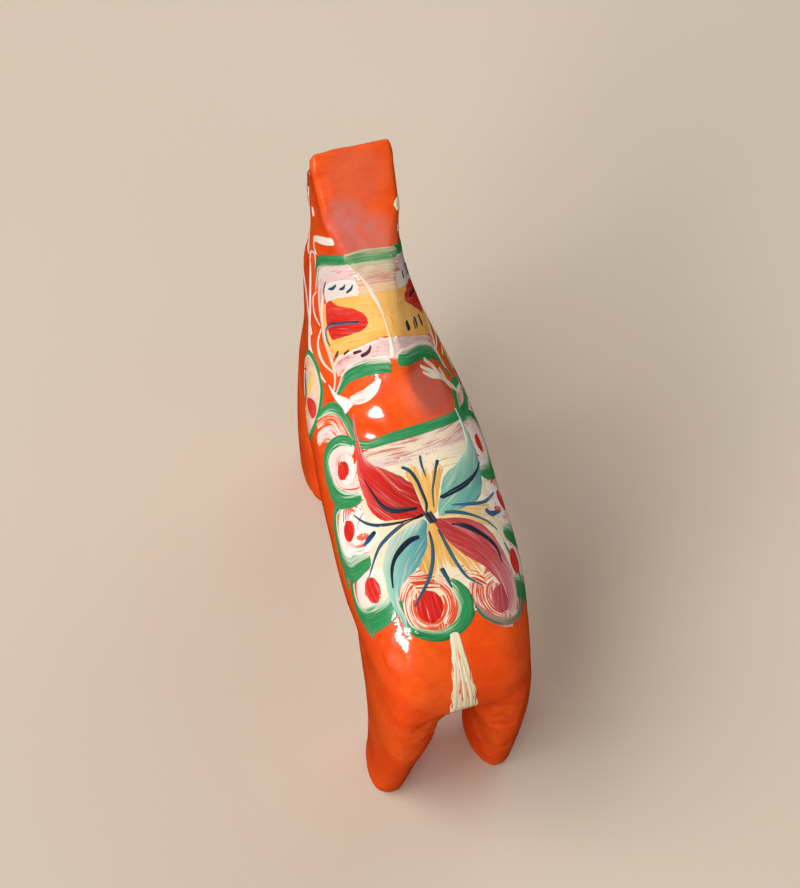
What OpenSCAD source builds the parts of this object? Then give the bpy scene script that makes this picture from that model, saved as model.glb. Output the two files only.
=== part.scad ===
// Dala horse: a pine horse, sawn and carved from one block, dipped in orange-red
// paint and decorated with free brush strokes. The horse faces +X, its left is +Y,
// and it stands on z = 0.

/* [Horse] */
// Height from the table to the ear tips
height = 70; // [60:1:100]
// Half of the width across the barrel, on a horse 70 mm tall
body_half_width = 9.7; // [8.5:0.1:11]
// Half of the width across the ears, on a horse 70 mm tall
ear_half_width = 4.2; // [3.8:0.1:4.6]

/* [Paint] */
// Thickness of the undercoat and the orange-red coat together
coat = 0.25; // [0.2:0.05:0.4]
// Thickness of a decorative brush stroke
film = 0.15; // [0.12:0.01:0.25]

/* [Hidden] */
unit = height / 70;

// ---- ribs: the trunk, neck and head are lofted through these, rear to front ----
// [back x, back z, belly x, belly z, half width, flat at back, flat at belly, roof, lean]
// half width is a share of body_half_width, roof is 0 for a round back and 1 for one
// carved to a ridge, and lean moves the back towards the horse's left.
trunk_ribs = [
    [-31.8, 31.8, -27.0, 28.0, 0.76, 4.0, 4.0, 0.0, 0.2],
    [-32.2, 35.0, -25.5, 27.0, 0.82, 4.2, 4.0, 0.0, 0.2],
    [-31.6, 38.6, -24.0, 26.5, 0.86, 4.0, 4.0, 0.0, 0.2],
    [-29.6, 41.9, -22.0, 26.5, 0.90, 3.4, 4.0, 0.0, 0.2],
    [-26.2, 44.5, -19.5, 26.5, 0.95, 2.8, 4.0, 0.0, 0.1],
    [-21.0, 46.6, -16.5, 26.8, 1.00, 2.4, 4.0, 0.0, 0.0],
    [-15.0, 47.2, -13.0, 27.2, 1.02, 2.0, 4.0, 0.0, 0.0],
    [ -9.0, 47.2,  -9.0, 27.5, 1.01, 1.6, 4.0, 0.0, -0.2],
    [ -4.0, 48.2,  -4.0, 27.5, 1.00, 1.0, 4.0, 0.3, -0.6],
    [ -0.6, 50.4,   2.0, 27.0, 0.97, 0.4, 4.0, 0.7, -1.0],
    [  1.8, 53.0,   9.0, 26.0, 0.92, 0.4, 3.6, 0.95, -1.0],
    [  4.4, 55.8,  16.0, 25.5, 0.81, 0.8, 3.2, 0.9, -0.8],
    [  7.0, 58.4,  23.0, 28.0, 0.65, 1.5, 2.4, 0.85, -0.5],
    [  9.4, 60.6,  27.0, 34.5, 0.55, 2.3, 2.2, 0.8, -0.3],
    [ 11.6, 62.6,  26.5, 41.0, 0.50, 3.1, 2.4, 0.7, 0.0],
    [ 13.8, 64.4,  24.5, 45.0, 0.48, 4.0, 2.6, 0.6, 0.0]
];
head_ribs = [
    [14.8, 63.4, 14.0, 52.0, 0.44, 3.4, 3.0, 0.0, 0.0],
    [20.0, 65.2, 17.0, 49.8, 0.46, 3.5, 3.0, 0.0, 0.0],
    [23.6, 61.0, 19.6, 47.4, 0.42, 3.2, 2.8, 0.0, 0.0],
    [27.0, 55.8, 22.6, 45.2, 0.36, 2.6, 2.4, 0.0, 0.0],
    [30.2, 51.2, 25.8, 43.6, 0.30, 2.2, 2.1, 0.0, 0.0],
    [32.2, 48.0, 29.0, 42.5, 0.26, 1.8, 1.8, 0.0, 0.0]
];
// ears, seen from the side: the flat sawn back, the tip, the front and the root
ear_outline = [[13.2, 63.7], [18.6, 70.0], [20.6, 65.0], [16.0, 58.0]];

// ---- legs: [z, centre x, centre y, half length, half width, squareness] ----
hind_leg = [
    [ 0.0, -24.3, 6.6, 4.5, 2.0, 2.4],
    [ 1.2, -24.3, 6.6, 5.0, 2.5, 2.4],
    [ 4.0, -24.5, 6.6, 5.3, 2.7, 2.4],
    [12.0, -24.8, 6.4, 5.8, 2.9, 2.5],
    [20.0, -24.5, 5.9, 6.8, 3.3, 2.7],
    [27.0, -23.0, 5.2, 8.6, 3.9, 3.0],
    [34.0, -21.4, 4.4, 10.2, 4.3, 3.4]
];
front_leg = [
    [ 0.0, 16.4, 5.5, 4.4, 1.8, 2.2],
    [ 1.2, 16.4, 5.5, 4.8, 2.2, 2.2],
    [ 4.0, 16.4, 5.5, 5.0, 2.4, 2.2],
    [12.0, 16.5, 5.2, 5.3, 2.7, 2.2],
    [20.0, 16.2, 4.6, 6.4, 3.0, 2.2],
    [27.0, 14.8, 3.9, 8.4, 3.3, 2.4],
    [34.0, 14.0, 3.0, 9.0, 3.4, 2.6]
];
// the hind feet stand a little towards the horse's left
hind_sway = 0.6;

steps = 2;        // stations between two ribs
side_points = 6;  // points between the flat of the back and the widest line

// Catmull-Rom interpolation through the rows of a table
function row(table, i) = table[max(0, min(len(table) - 1, i))];
function blend(a, b, c, d, t) =
    0.5 * (2 * b + (c - a) * t + (2 * a - 5 * b + 4 * c - d) * t * t
    + (3 * b - a - 3 * c + d) * t * t * t);
function smooth_rows(table, n) = [
    for (i = [0 : len(table) - 2], k = [0 : n - 1])
        blend(row(table, i - 1), table[i], table[i + 1], row(table, i + 2), k / n),
    table[len(table) - 1]
];

// One rib's half outline from the back to the belly, as [share of height, half width]
function half_section(w, flat_back, flat_belly, roof) = let (
    pt = 2.2 - 0.9 * roof,
    qt = 2.2 - 1.0 * roof)
    [
        for (k = [0 : side_points])
            let (a = 90 * k / side_points)
            [0.5 * (1 - cos(a)), flat_back + (w - flat_back) * pow(1 - pow(cos(a), pt), 1 / qt)],
        for (k = [1 : side_points])
            let (a = 90 * k / side_points)
            [0.5 * (1 + sin(a)), flat_belly + (w - flat_belly) * pow(1 - pow(sin(a), 2.4), 1 / 2.4)]
    ];

// A rib's ring of 3-D points, grown outwards by g
function rib_ring(r, g) = let (
    d = [r[0], r[1]], v = [r[2], r[3]],
    along = (v - d) / norm(v - d),
    top = d - g * along, bottom = v + g * along,
    half = half_section(r[4] * body_half_width + g, r[5] + 0.6 * g, r[6] + 0.6 * g, r[7]))
    [
        for (p = half) let (c = top + (bottom - top) * p[0])
            [c[0], p[1] + r[8] * pow(1 - p[0], 2), c[1]],
        for (k = [len(half) - 1 : -1 : 0])
            let (p = half[k], c = top + (bottom - top) * p[0])
            [c[0], -p[1] + r[8] * pow(1 - p[0], 2), c[1]]
    ];

// A closed solid through rings of the same number of points
module loft(rings) {
    n = len(rings[0]);
    m = len(rings);
    points = [for (r = rings, p = r) p];
    sides = [
        for (j = [0 : m - 2], i = [0 : n - 1])
            let (a = j * n + i, b = j * n + (i + 1) % n, c = b + n, d = a + n)
            each [[a, b, c], [a, c, d]]
    ];
    caps = [[for (i = [n - 1 : -1 : 0]) i], [for (i = [0 : n - 1]) (m - 1) * n + i]];
    polyhedron(points = points, faces = concat(sides, caps), convexity = 6);
}

// The end ribs move outwards along the loft, so that the ends grow too
function moved(ring, v) = [for (p = ring) p + v];
function centre(r) = [r[0] + r[2], 0, r[1] + r[3]] / 2;
function outward(a, b) = (centre(a) - centre(b)) / norm(centre(a) - centre(b));

module ribbed(ribs, g) {
    rows = smooth_rows(ribs, steps);
    m = len(rows) - 1;
    loft([
        moved(rib_ring(rows[0], g), g * outward(rows[0], rows[1])),
        for (i = [1 : m - 1]) rib_ring(rows[i], g),
        moved(rib_ring(rows[m], g), g * outward(rows[m], rows[m - 1]))
    ]);
}

module leg(sections, side, g, bottom, sway = 0) {
    rows = [for (r = smooth_rows(sections, 2)) r];
    n = 12;
    loft([for (r = rows) [
        for (i = [0 : n - 1])
            let (a = -360 * i / n, q = 2 / r[5],
                 cx = pow(abs(cos(a)), q) * sign(cos(a)),
                 cy = pow(abs(sin(a)), q) * sign(sin(a)))
            [r[1] + (r[3] + g) * cx,
             side * r[2] + sway * (1 - r[0] / 40) + (r[4] + g) * cy,
             r[0] == 0 ? bottom : r[0]]
    ]]);
}

// The ear block widens a little towards its tip
module ears(g) {
    c = (ear_outline[0] + ear_outline[1] + ear_outline[2] + ear_outline[3]) / 4;
    loft([for (side = [1, -1]) [
        for (p = ear_outline)
            let (q = p + g * 1.3 * (p - c) / norm(p - c))
            [q[0], side * (ear_half_width + g + 0.07 * (p[1] - 63.7)), q[1]]
    ]]);
}

// The whole carved horse, grown outwards by grow, with its soles at z = bottom
module horse(grow = 0, bottom = 0) {
    g = grow / unit;
    render() scale(unit) {
        ribbed(trunk_ribs, g);
        ribbed(head_ribs, g);
        ears(g);
        for (side = [-1, 1]) {
            leg(hind_leg, side, g, bottom / unit, hind_sway);
            leg(front_leg, side, g, bottom / unit);
        }
    }
}

// ---- paint: flat drawings laid on the surface from one side ----
// Drawing in x and z, laid on both flanks
module on_flanks() {
    scale(unit) rotate([90, 0, 0]) linear_extrude(40, center = true) children();
}
// Drawing in x and y, laid on the upper half of the body
module on_back() {
    scale(unit) translate([0, 0, 37]) linear_extrude(40) children();
}
// Drawing in y and z, laid on the rump from behind
module on_rump() {
    scale(unit) translate([-40, 0, 0]) rotate([90, 0, 90]) linear_extrude(20) children();
}
// A coat lying between two depths of paint
module layer(from, to) {
    intersection() {
        difference() {
            horse(to);
            horse(from);
        }
        children();
    }
}

// A brush stroke along [x, y, half width] rows
module stroke(rows) {
    fine = smooth_rows(rows, 2);
    m = len(fine) - 1;
    side = [
        for (i = [0 : m])
            let (a = fine[max(0, i - 1)], b = fine[min(m, i + 1)],
                 d = [b[0] - a[0], b[1] - a[1]] / norm([b[0] - a[0], b[1] - a[1]]))
            [-d[1], d[0]] * max(0.05, fine[i][2])
    ];
    polygon(concat(
        [for (i = [0 : m]) [fine[i][0], fine[i][1]] + side[i]],
        [for (i = [m : -1 : 0]) [fine[i][0], fine[i][1]] - side[i]]
    ));
}
module dot(x, y, rx, ry) translate([x, y]) scale([rx, ry]) circle(1, $fn = 12);

// ---- saddle ----
// Scallops hanging down the flanks, grown by e for the border
module saddle_flank(e) {
    translate([-27.5 - e, 44.2 - e]) square([24 + 2 * e, 12]);
    for (c = [[0.2, 43.2, 2.1], [-5.2, 44.2, 2.6], [-12.4, 43.0, 3.4], [-20.2, 43.4, 3.2]])
        translate([c[0], c[1]]) circle(c[2] + e, $fn = 18);
}
// The saddle from above, with its two rear scallops
module saddle_back(e) {
    polygon([
        [-4.8 + e, 0], [-4.2 + e, 3.4], [-2.6 + e, 6.0], [-0.6 + e, 6.8], [3.2 + e, 6.4],
        [3.6 + e, 12], [-23.4 - e, 12], [-23.4 - e, 6.2],
        [-23.0 - e, 0], [-23.4 - e, -8.4], [-23.4 - e, -12],
        [3.6 + e, -12], [3.2 + e, -6.4], [-0.6 + e, -6.8], [-2.6 + e, -6.0], [-4.2 + e, -3.4]
    ]);
    translate([-23.4, 2.4]) circle(2.7 + e, $fn = 16);
    translate([-23.8, -5.2]) circle(2.8 + e, $fn = 16);
}
module saddle(e) {
    intersection() {
        on_flanks() saddle_flank(e);
        on_back() saddle_back(e);
    }
}
module star_shape() {
    polygon([
        [-5.6, -0.9], [-8.0, 1.6], [-12.6, 1.0], [-14.4, 3.4], [-14.2, 6.8], [-15.8, 6.4],
        [-16.4, 2.2], [-20.6, 2.6], [-22.6, 1.2], [-22.8, -3.0], [-20.0, -3.2],
        [-16.6, -2.2], [-15.6, -6.6], [-13.4, -7.0], [-13.6, -2.4], [-8.2, -3.8]
    ]);
}
module red_petal_shapes() {
    stroke([[-14.4, 0.4, 0.2], [-12.4, 2.2, 1.5], [-9.4, 3.6, 2.0], [-6.0, 4.6, 1.2],
            [-3.6, 5.0, 0.5], [-1.6, 4.8, 0.1]]);
    stroke([[-15.6, -0.8, 0.2], [-17.4, -3.2, 1.5], [-20.2, -5.2, 1.8], [-23.2, -6.0, 1.4],
            [-25.8, -5.6, 0.8]]);
}
module teal_petal_shapes() {
    stroke([[-14.4, -1.0, 0.2], [-12.6, -3.0, 1.5], [-9.8, -5.0, 2.0], [-6.4, -6.2, 1.2],
            [-3.2, -6.6, 0.2]]);
    stroke([[-15.6, 0.6, 0.2], [-17.0, 2.8, 1.4], [-19.8, 4.6, 1.7], [-22.6, 5.2, 0.9],
            [-25.0, 5.5, 0.2]]);
}
module vein_shapes() {
    stroke([[-8.4, 5.4, 0.1], [-10.8, 4.8, 0.3], [-12.8, 3.6, 0.3], [-13.6, 1.0, 0.15]]);
    stroke([[-8.8, -7.0, 0.1], [-11.0, -5.4, 0.3], [-12.4, -3.8, 0.3], [-13.0, -1.8, 0.15]]);
    stroke([[-16.6, 1.4, 0.15], [-17.4, 3.6, 0.3], [-19.2, 5.0, 0.3], [-22.4, 5.6, 0.1]]);
    stroke([[-16.2, -2.4, 0.15], [-17.4, -4.6, 0.3], [-19.6, -6.0, 0.3], [-22.4, -6.0, 0.1]]);
}
module flourish_shapes() {
    stroke([[-13.4, 0.0, 0.15], [-10.8, 0.2, 0.25], [-8.0, 1.4, 0.1]]);
    stroke([[-13.6, -0.8, 0.15], [-11.0, -1.4, 0.25], [-8.4, -2.8, 0.1]]);
    stroke([[-7.4, -1.0, 0.1], [-9.8, -0.9, 0.2]]);
    stroke([[-14.6, 0.8, 0.15], [-14.6, 3.4, 0.25], [-13.4, 6.0, 0.2], [-11.6, 7.2, 0.1]]);
    stroke([[-15.0, 0.8, 0.15], [-15.8, 3.6, 0.25], [-17.4, 6.6, 0.2], [-19.0, 7.6, 0.1]]);
    stroke([[-14.2, -1.6, 0.15], [-14.0, -4.6, 0.25], [-12.0, -8.2, 0.1]]);
    stroke([[-14.8, -1.6, 0.15], [-15.4, -4.6, 0.25], [-17.6, -7.3, 0.1]]);
    stroke([[-16.4, 0.4, 0.15], [-19.6, 0.8, 0.25], [-22.2, 3.2, 0.1]]);
    stroke([[-16.4, -0.8, 0.15], [-20.1, -1.4, 0.25], [-23.3, -3.9, 0.1]]);
    stroke([[-20.6, 0.0, 0.3], [-23.2, -0.6, 0.1]]);
    stroke([[-13.2, -7.1, 0.2], [-14.8, -7.9, 0.3]]);
    stroke([[-14.6, 6.4, 0.3], [-16.0, 7.4, 0.2]]);
}
module dot_shapes() {
    dot(-24.2, 2.3, 1.5, 1.4);
}
module flank_dot_shapes() {
    dot(-5.6, 44.2, 0.9, 0.8);
    dot(-12.4, 43.2, 1.1, 0.9);
    dot(-20.2, 43.6, 1.1, 0.9);
}

// ---- mane panel, drawn on the neck from the side ----
module mane_shape() {
    polygon([
        [7.0, 64.0], [12.2, 59.4], [15.4, 54.2], [15.0, 51.4], [10.0, 48.4],
        [3.0, 45.8], [3.8, 48.0], [1.2, 52.6], [-1.0, 56.0]
    ]);
}
module mane_top_shape() stroke([[9.0, 63.4, 0.6], [12.0, 59.4, 0.55], [14.8, 55.0, 0.5],
                                [15.5, 52.6, 0.3]]);
module mane_bottom_shape() stroke([[-0.6, 54.4, 0.9], [2.2, 51.6, 0.9], [3.7, 48.6, 0.8],
                                   [3.0, 45.4, 0.4]]);
module band_shape() {
    polygon([[5.0, 62.0], [8.6, 59.0], [12.6, 51.4], [10.0, 49.0], [7.0, 48.2],
             [4.4, 53.0], [1.0, 57.0]]);
}
module tulip_shape() {
    stroke([[5.8, 55.6, 0.5], [7.2, 54.4, 1.5], [8.8, 52.6, 1.7], [9.8, 50.6, 2.0],
            [10.2, 49.6, 1.4]]);
}
module blue_tick_shapes() {
    for (c = [[12.8, 52.6], [11.8, 54.8], [10.6, 56.8], [9.2, 58.4]])
        stroke([[c[0] - 0.7, c[1] + 0.1, 0.1], [c[0], c[1], 0.25], [c[0] + 0.6, c[1] + 0.4, 0.1]]);
}
module purple_tick_shapes() {
    for (c = [[6.6, 48.8], [5.9, 50.2], [5.0, 51.6], [4.2, 52.8]])
        stroke([[c[0] - 0.7, c[1] - 0.2, 0.1], [c[0], c[1], 0.25], [c[0] + 0.6, c[1] + 0.4, 0.1]]);
}

// ---- harness lines and shoulder flowers ----
module rein_shape() {
    stroke([[24.6, 48.0, 0.25], [21.0, 47.0, 0.3], [17.0, 45.0, 0.3], [12.0, 44.0, 0.3],
            [7.0, 44.6, 0.3], [3.4, 45.2, 0.2]]);
    stroke([[14.4, 50.6, 0.15], [10.0, 47.8, 0.25], [6.0, 46.6, 0.25], [4.0, 45.6, 0.15]]);
}
module bridle_shape() {
    stroke([[26.8, 44.0, 0.35], [27.6, 48.6, 0.35], [28.8, 54.0, 0.35]]);
    stroke([[27.4, 47.6, 0.25], [23.6, 54.0, 0.3], [19.4, 61.6, 0.3]]);
    stroke([[20.0, 49.2, 0.3], [19.4, 55.0, 0.3], [17.0, 61.4, 0.3]]);
    stroke([[17.4, 56.0, 0.3], [15.0, 58.6, 0.4], [12.9, 61.0, 0.3]]);
}
module scroll_shape() {
    stroke([[6.4, 44.2, 0.2], [4.2, 44.8, 0.7], [2.2, 46.4, 0.8], [0.8, 48.4, 0.7],
            [1.2, 50.4, 0.2]]);
}
module shoulder_shape(e) dot(7.4, 39.4, 4.2 + e, 3.6 + e);

module pine_core() { color("burlywood") horse(-coat); }
module base_coat() {
    color("orangered") difference() {
        horse(0, 0.1);
        horse(-coat, -1);
    }
}
module saddle_ground() { color("ivory") layer(0, film) saddle(0); }
module saddle_border() {
    color("seagreen") layer(0, film) difference() {
        saddle(0.9);
        saddle(0);
    }
}
module saddle_star() {
    color("goldenrod") layer(film, 2 * film) on_back() difference() {
        star_shape();
        red_petal_shapes();
        teal_petal_shapes();
        flourish_shapes();
    }
}
module red_petals() {
    color("firebrick") layer(film, 2 * film) on_back() difference() {
        red_petal_shapes();
        flourish_shapes();
    }
}
module teal_petals() {
    color("cadetblue") layer(film, 2 * film) on_back() difference() {
        teal_petal_shapes();
        red_petal_shapes();
        flourish_shapes();
    }
}
module petal_veins() {
    color("midnightblue") layer(2 * film, 3 * film) on_back() difference() {
        vein_shapes();
        flourish_shapes();
    }
}
module blue_flourishes() {
    color("darkslateblue") layer(film, 3 * film) on_back() flourish_shapes();
}
module flower_center() {
    color("black") layer(2 * film, 3 * film) on_back() difference() {
        dot(-15.0, -0.3, 0.8, 0.5);
        flourish_shapes();
    }
}
module scallop_dots() {
    color("red") layer(film, 2 * film) {
        on_back() difference() {
            dot_shapes();
            red_petal_shapes();
            teal_petal_shapes();
            flourish_shapes();
        }
        on_flanks() flank_dot_shapes();
    }
}
module mane_ground() {
    color("mistyrose") layer(0, film) on_flanks() difference() {
        mane_shape();
        mane_top_shape();
        mane_bottom_shape();
    }
}
module mane_band() { color("goldenrod") layer(film, 2 * film) on_flanks() band_shape(); }
module mane_top_border() { color("seagreen") layer(0, film) on_flanks() mane_top_shape(); }
module mane_bottom_border() { color("seagreen") layer(0, film) on_flanks() mane_bottom_shape(); }
module mane_tulips() { color("firebrick") layer(2 * film, 3 * film) on_flanks() tulip_shape(); }
module mane_blue_ticks() {
    color("steelblue") layer(film, 2 * film) on_flanks() difference() {
        blue_tick_shapes();
        band_shape();
    }
}
module mane_purple_ticks() {
    color("indigo") layer(film, 2 * film) on_flanks() difference() {
        purple_tick_shapes();
        band_shape();
    }
}
module crest_line() {
    color("white") layer(2 * film, 3 * film) intersection() {
        on_back() stroke([[7.6, 1.6, 0.2], [6.4, 1.0, 0.3], [4.6, 0.2, 0.25], [3.4, -0.2, 0.1]]);
        on_flanks() translate([0, 50]) square(20);
    }
}
module bridle_lines() { color("white") layer(0, film) on_flanks() bridle_shape(); }
module reins() {
    color("white") layer(0, film) on_flanks() difference() {
        rein_shape();
        mane_shape();
        mane_bottom_shape();
        bridle_shape();
        scroll_shape();
        saddle_flank(0.9);
    }
}
module scrolls() {
    color("white") layer(0, film) on_flanks() difference() {
        scroll_shape();
        mane_bottom_shape();
        mane_shape();
        saddle_flank(0.9);
    }
}
module shoulder_ground() { color("mistyrose") layer(0, film) on_flanks() shoulder_shape(0); }
module shoulder_border() {
    color("seagreen") layer(0, film) on_flanks() difference() {
        shoulder_shape(0.7);
        shoulder_shape(0);
    }
}
module shoulder_red() {
    color("firebrick") layer(film, 2 * film) on_flanks()
        stroke([[6.4, 39.4, 0.3], [5.2, 40.4, 1.1], [4.2, 41.4, 0.5]]);
}
module shoulder_yellow() {
    color("gold") layer(film, 2 * film) on_flanks()
        stroke([[6.8, 40.4, 0.3], [7.2, 41.6, 0.8], [7.6, 42.6, 0.3]]);
}
module shoulder_blue() {
    color("slategray") layer(film, 2 * film) on_flanks()
        stroke([[7.6, 39.2, 0.3], [9.0, 38.8, 0.9], [10.6, 38.2, 0.3]]);
}
module eyes() { color("white") layer(0, film) on_flanks() dot(22.6, 58.2, 1.5, 1.2); }
module pupils() { color("black") layer(film, 2 * film) on_flanks() dot(22.7, 58.1, 0.8, 0.7); }
module mouth_lines() {
    color("black") layer(0, film) on_flanks()
        stroke([[30.6, 45.4, 0.3], [28.8, 45.8, 0.3], [27.8, 46.8, 0.15]]);
}
module tail_stroke() {
    color("ivory") layer(0, film) on_rump()
        stroke([[0.3, 43.6, 0.4], [0.6, 41.0, 0.7], [0.8, 38.0, 1.0], [0.6, 34.4, 1.4]]);
}

pine_core();
base_coat();
saddle_ground();
saddle_border();
saddle_star();
red_petals();
teal_petals();
petal_veins();
blue_flourishes();
flower_center();
scallop_dots();
mane_ground();
mane_band();
mane_top_border();
mane_bottom_border();
mane_tulips();
mane_blue_ticks();
mane_purple_ticks();
crest_line();
bridle_lines();
reins();
scrolls();
shoulder_ground();
shoulder_border();
shoulder_red();
shoulder_yellow();
shoulder_blue();
eyes();
pupils();
mouth_lines();
tail_stroke();
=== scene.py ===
"""The looks of a hand-painted dala horse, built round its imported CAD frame.

The horse faces +X, its left is +Y, and it stands on z = 0. Shapes are worked out in
millimetres and become metres when their meshes are made.
"""

import math

import bpy
import numpy as np
from mathutils import Matrix, Vector
from mathutils.bvhtree import BVHTree


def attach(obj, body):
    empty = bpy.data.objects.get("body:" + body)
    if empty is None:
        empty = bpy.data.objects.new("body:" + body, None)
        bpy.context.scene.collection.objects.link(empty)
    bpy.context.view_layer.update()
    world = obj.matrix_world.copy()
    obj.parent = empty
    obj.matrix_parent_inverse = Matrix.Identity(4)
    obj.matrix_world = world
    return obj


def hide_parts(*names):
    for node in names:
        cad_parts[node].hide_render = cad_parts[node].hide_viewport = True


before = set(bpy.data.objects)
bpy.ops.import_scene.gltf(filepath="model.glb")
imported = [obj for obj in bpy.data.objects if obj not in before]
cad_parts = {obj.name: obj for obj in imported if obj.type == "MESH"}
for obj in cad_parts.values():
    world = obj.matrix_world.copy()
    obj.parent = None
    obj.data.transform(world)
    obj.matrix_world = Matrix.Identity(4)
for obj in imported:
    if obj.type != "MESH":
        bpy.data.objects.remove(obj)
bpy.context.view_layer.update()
MM = 0.001


def linked(name, data):
    """A new object, in the scene."""
    obj = bpy.data.objects.new(name, data)
    bpy.context.scene.collection.objects.link(obj)
    return obj


def unit(vectors):
    """Rows of vectors, each made one long."""
    return vectors / np.linalg.norm(vectors, axis=1, keepdims=True)


# ---------------------------------------------------------------- camera
CAMERA_PLACE = Vector((-0.1034, 0.0287, 0.2405))
CAMERA_TURNS = (62.2, 15.94, 1.28)  # above the table, round the horse, roll, degrees
CAMERA_LENS = 81.08


def add_camera():
    elevation, heading, roll = (math.radians(a) for a in CAMERA_TURNS)
    back = Vector((
        -math.cos(heading) * math.cos(elevation),
        math.sin(heading) * math.cos(elevation),
        math.sin(elevation),
    ))
    right = Vector((0, 0, 1)).cross(back).normalized()
    up = back.cross(right)
    tilted = right * math.cos(roll) + up * math.sin(roll)
    up = up * math.cos(roll) - right * math.sin(roll)
    data = bpy.data.cameras.new("photo_camera")
    data.lens = CAMERA_LENS
    data.clip_start, data.clip_end = 0.01, 10
    camera = linked("photo_camera", data)
    turn = Matrix((tilted, up, back)).transposed()
    camera.matrix_world = Matrix.Translation(CAMERA_PLACE) @ turn.to_4x4()
    bpy.context.scene.camera = camera


add_camera()


# ---------------------------------------------------------------- carved body
# The ribs of part.scad, with the hind legs a little slimmer and toed in. Columns: back x
# and z, belly x and z, half width as a share of BARREL, flats at the back and the belly,
# roof and lean.
BARREL = 9.7
TRUNK = [
    (-31.8, 31.8, -27, 28, 0.76, 4, 4, 0, 0.2),
    (-32.2, 35, -25.5, 27, 0.82, 4.2, 4, 0, 0.2),
    (-31.6, 38.6, -24, 26.5, 0.86, 4, 4, 0, 0.2),
    (-29.6, 41.9, -22, 26.5, 0.90, 3.4, 4, 0, 0.2),
    (-26.2, 44.5, -19.5, 26.5, 0.95, 2.8, 4, 0, 0.1),
    (-21, 46.6, -16.5, 26.8, 1.00, 2.4, 4, 0, 0),
    (-15, 47.2, -13, 27.2, 1.02, 2, 4, 0, 0),
    (-9, 47.2, -9, 27.5, 1.01, 1.6, 4, 0, -0.2),
    (-4, 48.2, -4, 27.5, 1.00, 1, 4, 0.3, -0.6),
    (-0.6, 50.4, 2, 27, 0.97, 0.4, 4, 0.7, -1),
    (1.8, 53, 9, 26, 0.92, 0.4, 3.6, 0.95, -1),
    (4.4, 55.8, 16, 25.5, 0.81, 0.8, 3.2, 0.9, -0.8),
    (7, 58.4, 23, 28, 0.65, 1.5, 2.4, 0.85, -0.5),
    (9.4, 60.6, 27, 34.5, 0.55, 2.3, 2.2, 0.8, -0.3),
    (11.6, 62.6, 26.5, 41, 0.50, 3.1, 2.4, 0.7, 0),
    (13.8, 64.4, 24.5, 45, 0.48, 4, 2.6, 0.6, 0),
]
HEAD = [
    (14.8, 63.4, 14, 52, 0.44, 3.4, 3, 0, 0),
    (20, 65.2, 17, 49.8, 0.46, 3.5, 3, 0, 0),
    (23.6, 61, 19.6, 47.4, 0.42, 3.2, 2.8, 0, 0),
    (27, 55.8, 22.6, 45.2, 0.36, 2.6, 2.4, 0, 0),
    (30.2, 51.2, 25.8, 43.6, 0.30, 2.2, 2.1, 0, 0),
    (32.2, 48, 29, 42.5, 0.26, 1.8, 1.8, 0, 0),
]
EAR_OUTLINE = [(13.2, 63.7), (18.6, 70), (20.6, 65), (16, 58)]
EAR_HALF = 4.2
# z, centre x, centre y, half length, half width, squareness
HIND_LEG = [
    (0, -24.4, 6.7, 4.3, 2.2, 2.2),
    (1.2, -24.6, 6.5, 4.5, 2.55, 2.2),
    (4, -24.7, 6.3, 4.8, 2.5, 2.3),
    (12, -25.1, 6.15, 5.7, 2.55, 2.4),
    (20, -24.8, 5.8, 7.1, 2.95, 2.6),
    (27, -23.4, 5.25, 8.9, 3.65, 3),
    (34, -21.8, 4.5, 10.5, 4.2, 3.4),
]
HIND_SWAY, HIND_TOE_IN = 0.6, 0.11
CUTS = 150  # knife cuts all over the body
SOLE = 0.05  # how high the painted soles stand over the floor
# flats left by the knife: where, facing, radius
PLANED = [
    ((-2, 2.5, 48.5), (-0.43, 0.57, 0.70), 1.8),
    ((-3.6, 3.6, 47.4), (-0.43, 0.57, 0.70), 1.4),
    ((-0.6, -3.7, 49.6), (-0.20, -0.62, 0.76), 3.4),
    ((-26.2, 6.5, 42.9), (-0.43, 0.57, 0.70), 1.2),
    ((-26.1, 5.7, 43.6), (-0.43, 0.57, 0.70), 1.3),
    ((-26, 4.9, 44.2), (-0.43, 0.57, 0.70), 1.1),
    ((-27.6, 7.1, 41.3), (-0.46, 0.62, 0.64), 1.6),
]
FRONT_LEG = [
    (0, 16.4, 5.5, 4.4, 1.8, 2.2),
    (1.2, 16.4, 5.5, 4.8, 2.2, 2.2),
    (4, 16.4, 5.5, 5, 2.4, 2.2),
    (12, 16.5, 5.2, 5.3, 2.7, 2.2),
    (20, 16.2, 4.6, 6.4, 3, 2.2),
    (27, 14.8, 3.9, 8.4, 3.3, 2.4),
    (34, 14, 3, 9, 3.4, 2.6),
]


def smooth_rows(table, n):
    """Catmull-Rom through the rows of a table, n stations from each row to the next."""
    rows = np.asarray(table, float)
    out = []
    for i in range(len(rows) - 1):
        a, b, c = rows[max(i - 1, 0)], rows[i], rows[i + 1]
        d = rows[min(i + 2, len(rows) - 1)]
        for k in range(n):
            t = k / n
            out.append(0.5 * (2 * b + (c - a) * t + (2 * a - 5 * b + 4 * c - d) * t * t
                              + (3 * b - a - 3 * c + d) * t ** 3))
    out.append(rows[-1])
    return np.array(out)


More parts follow.
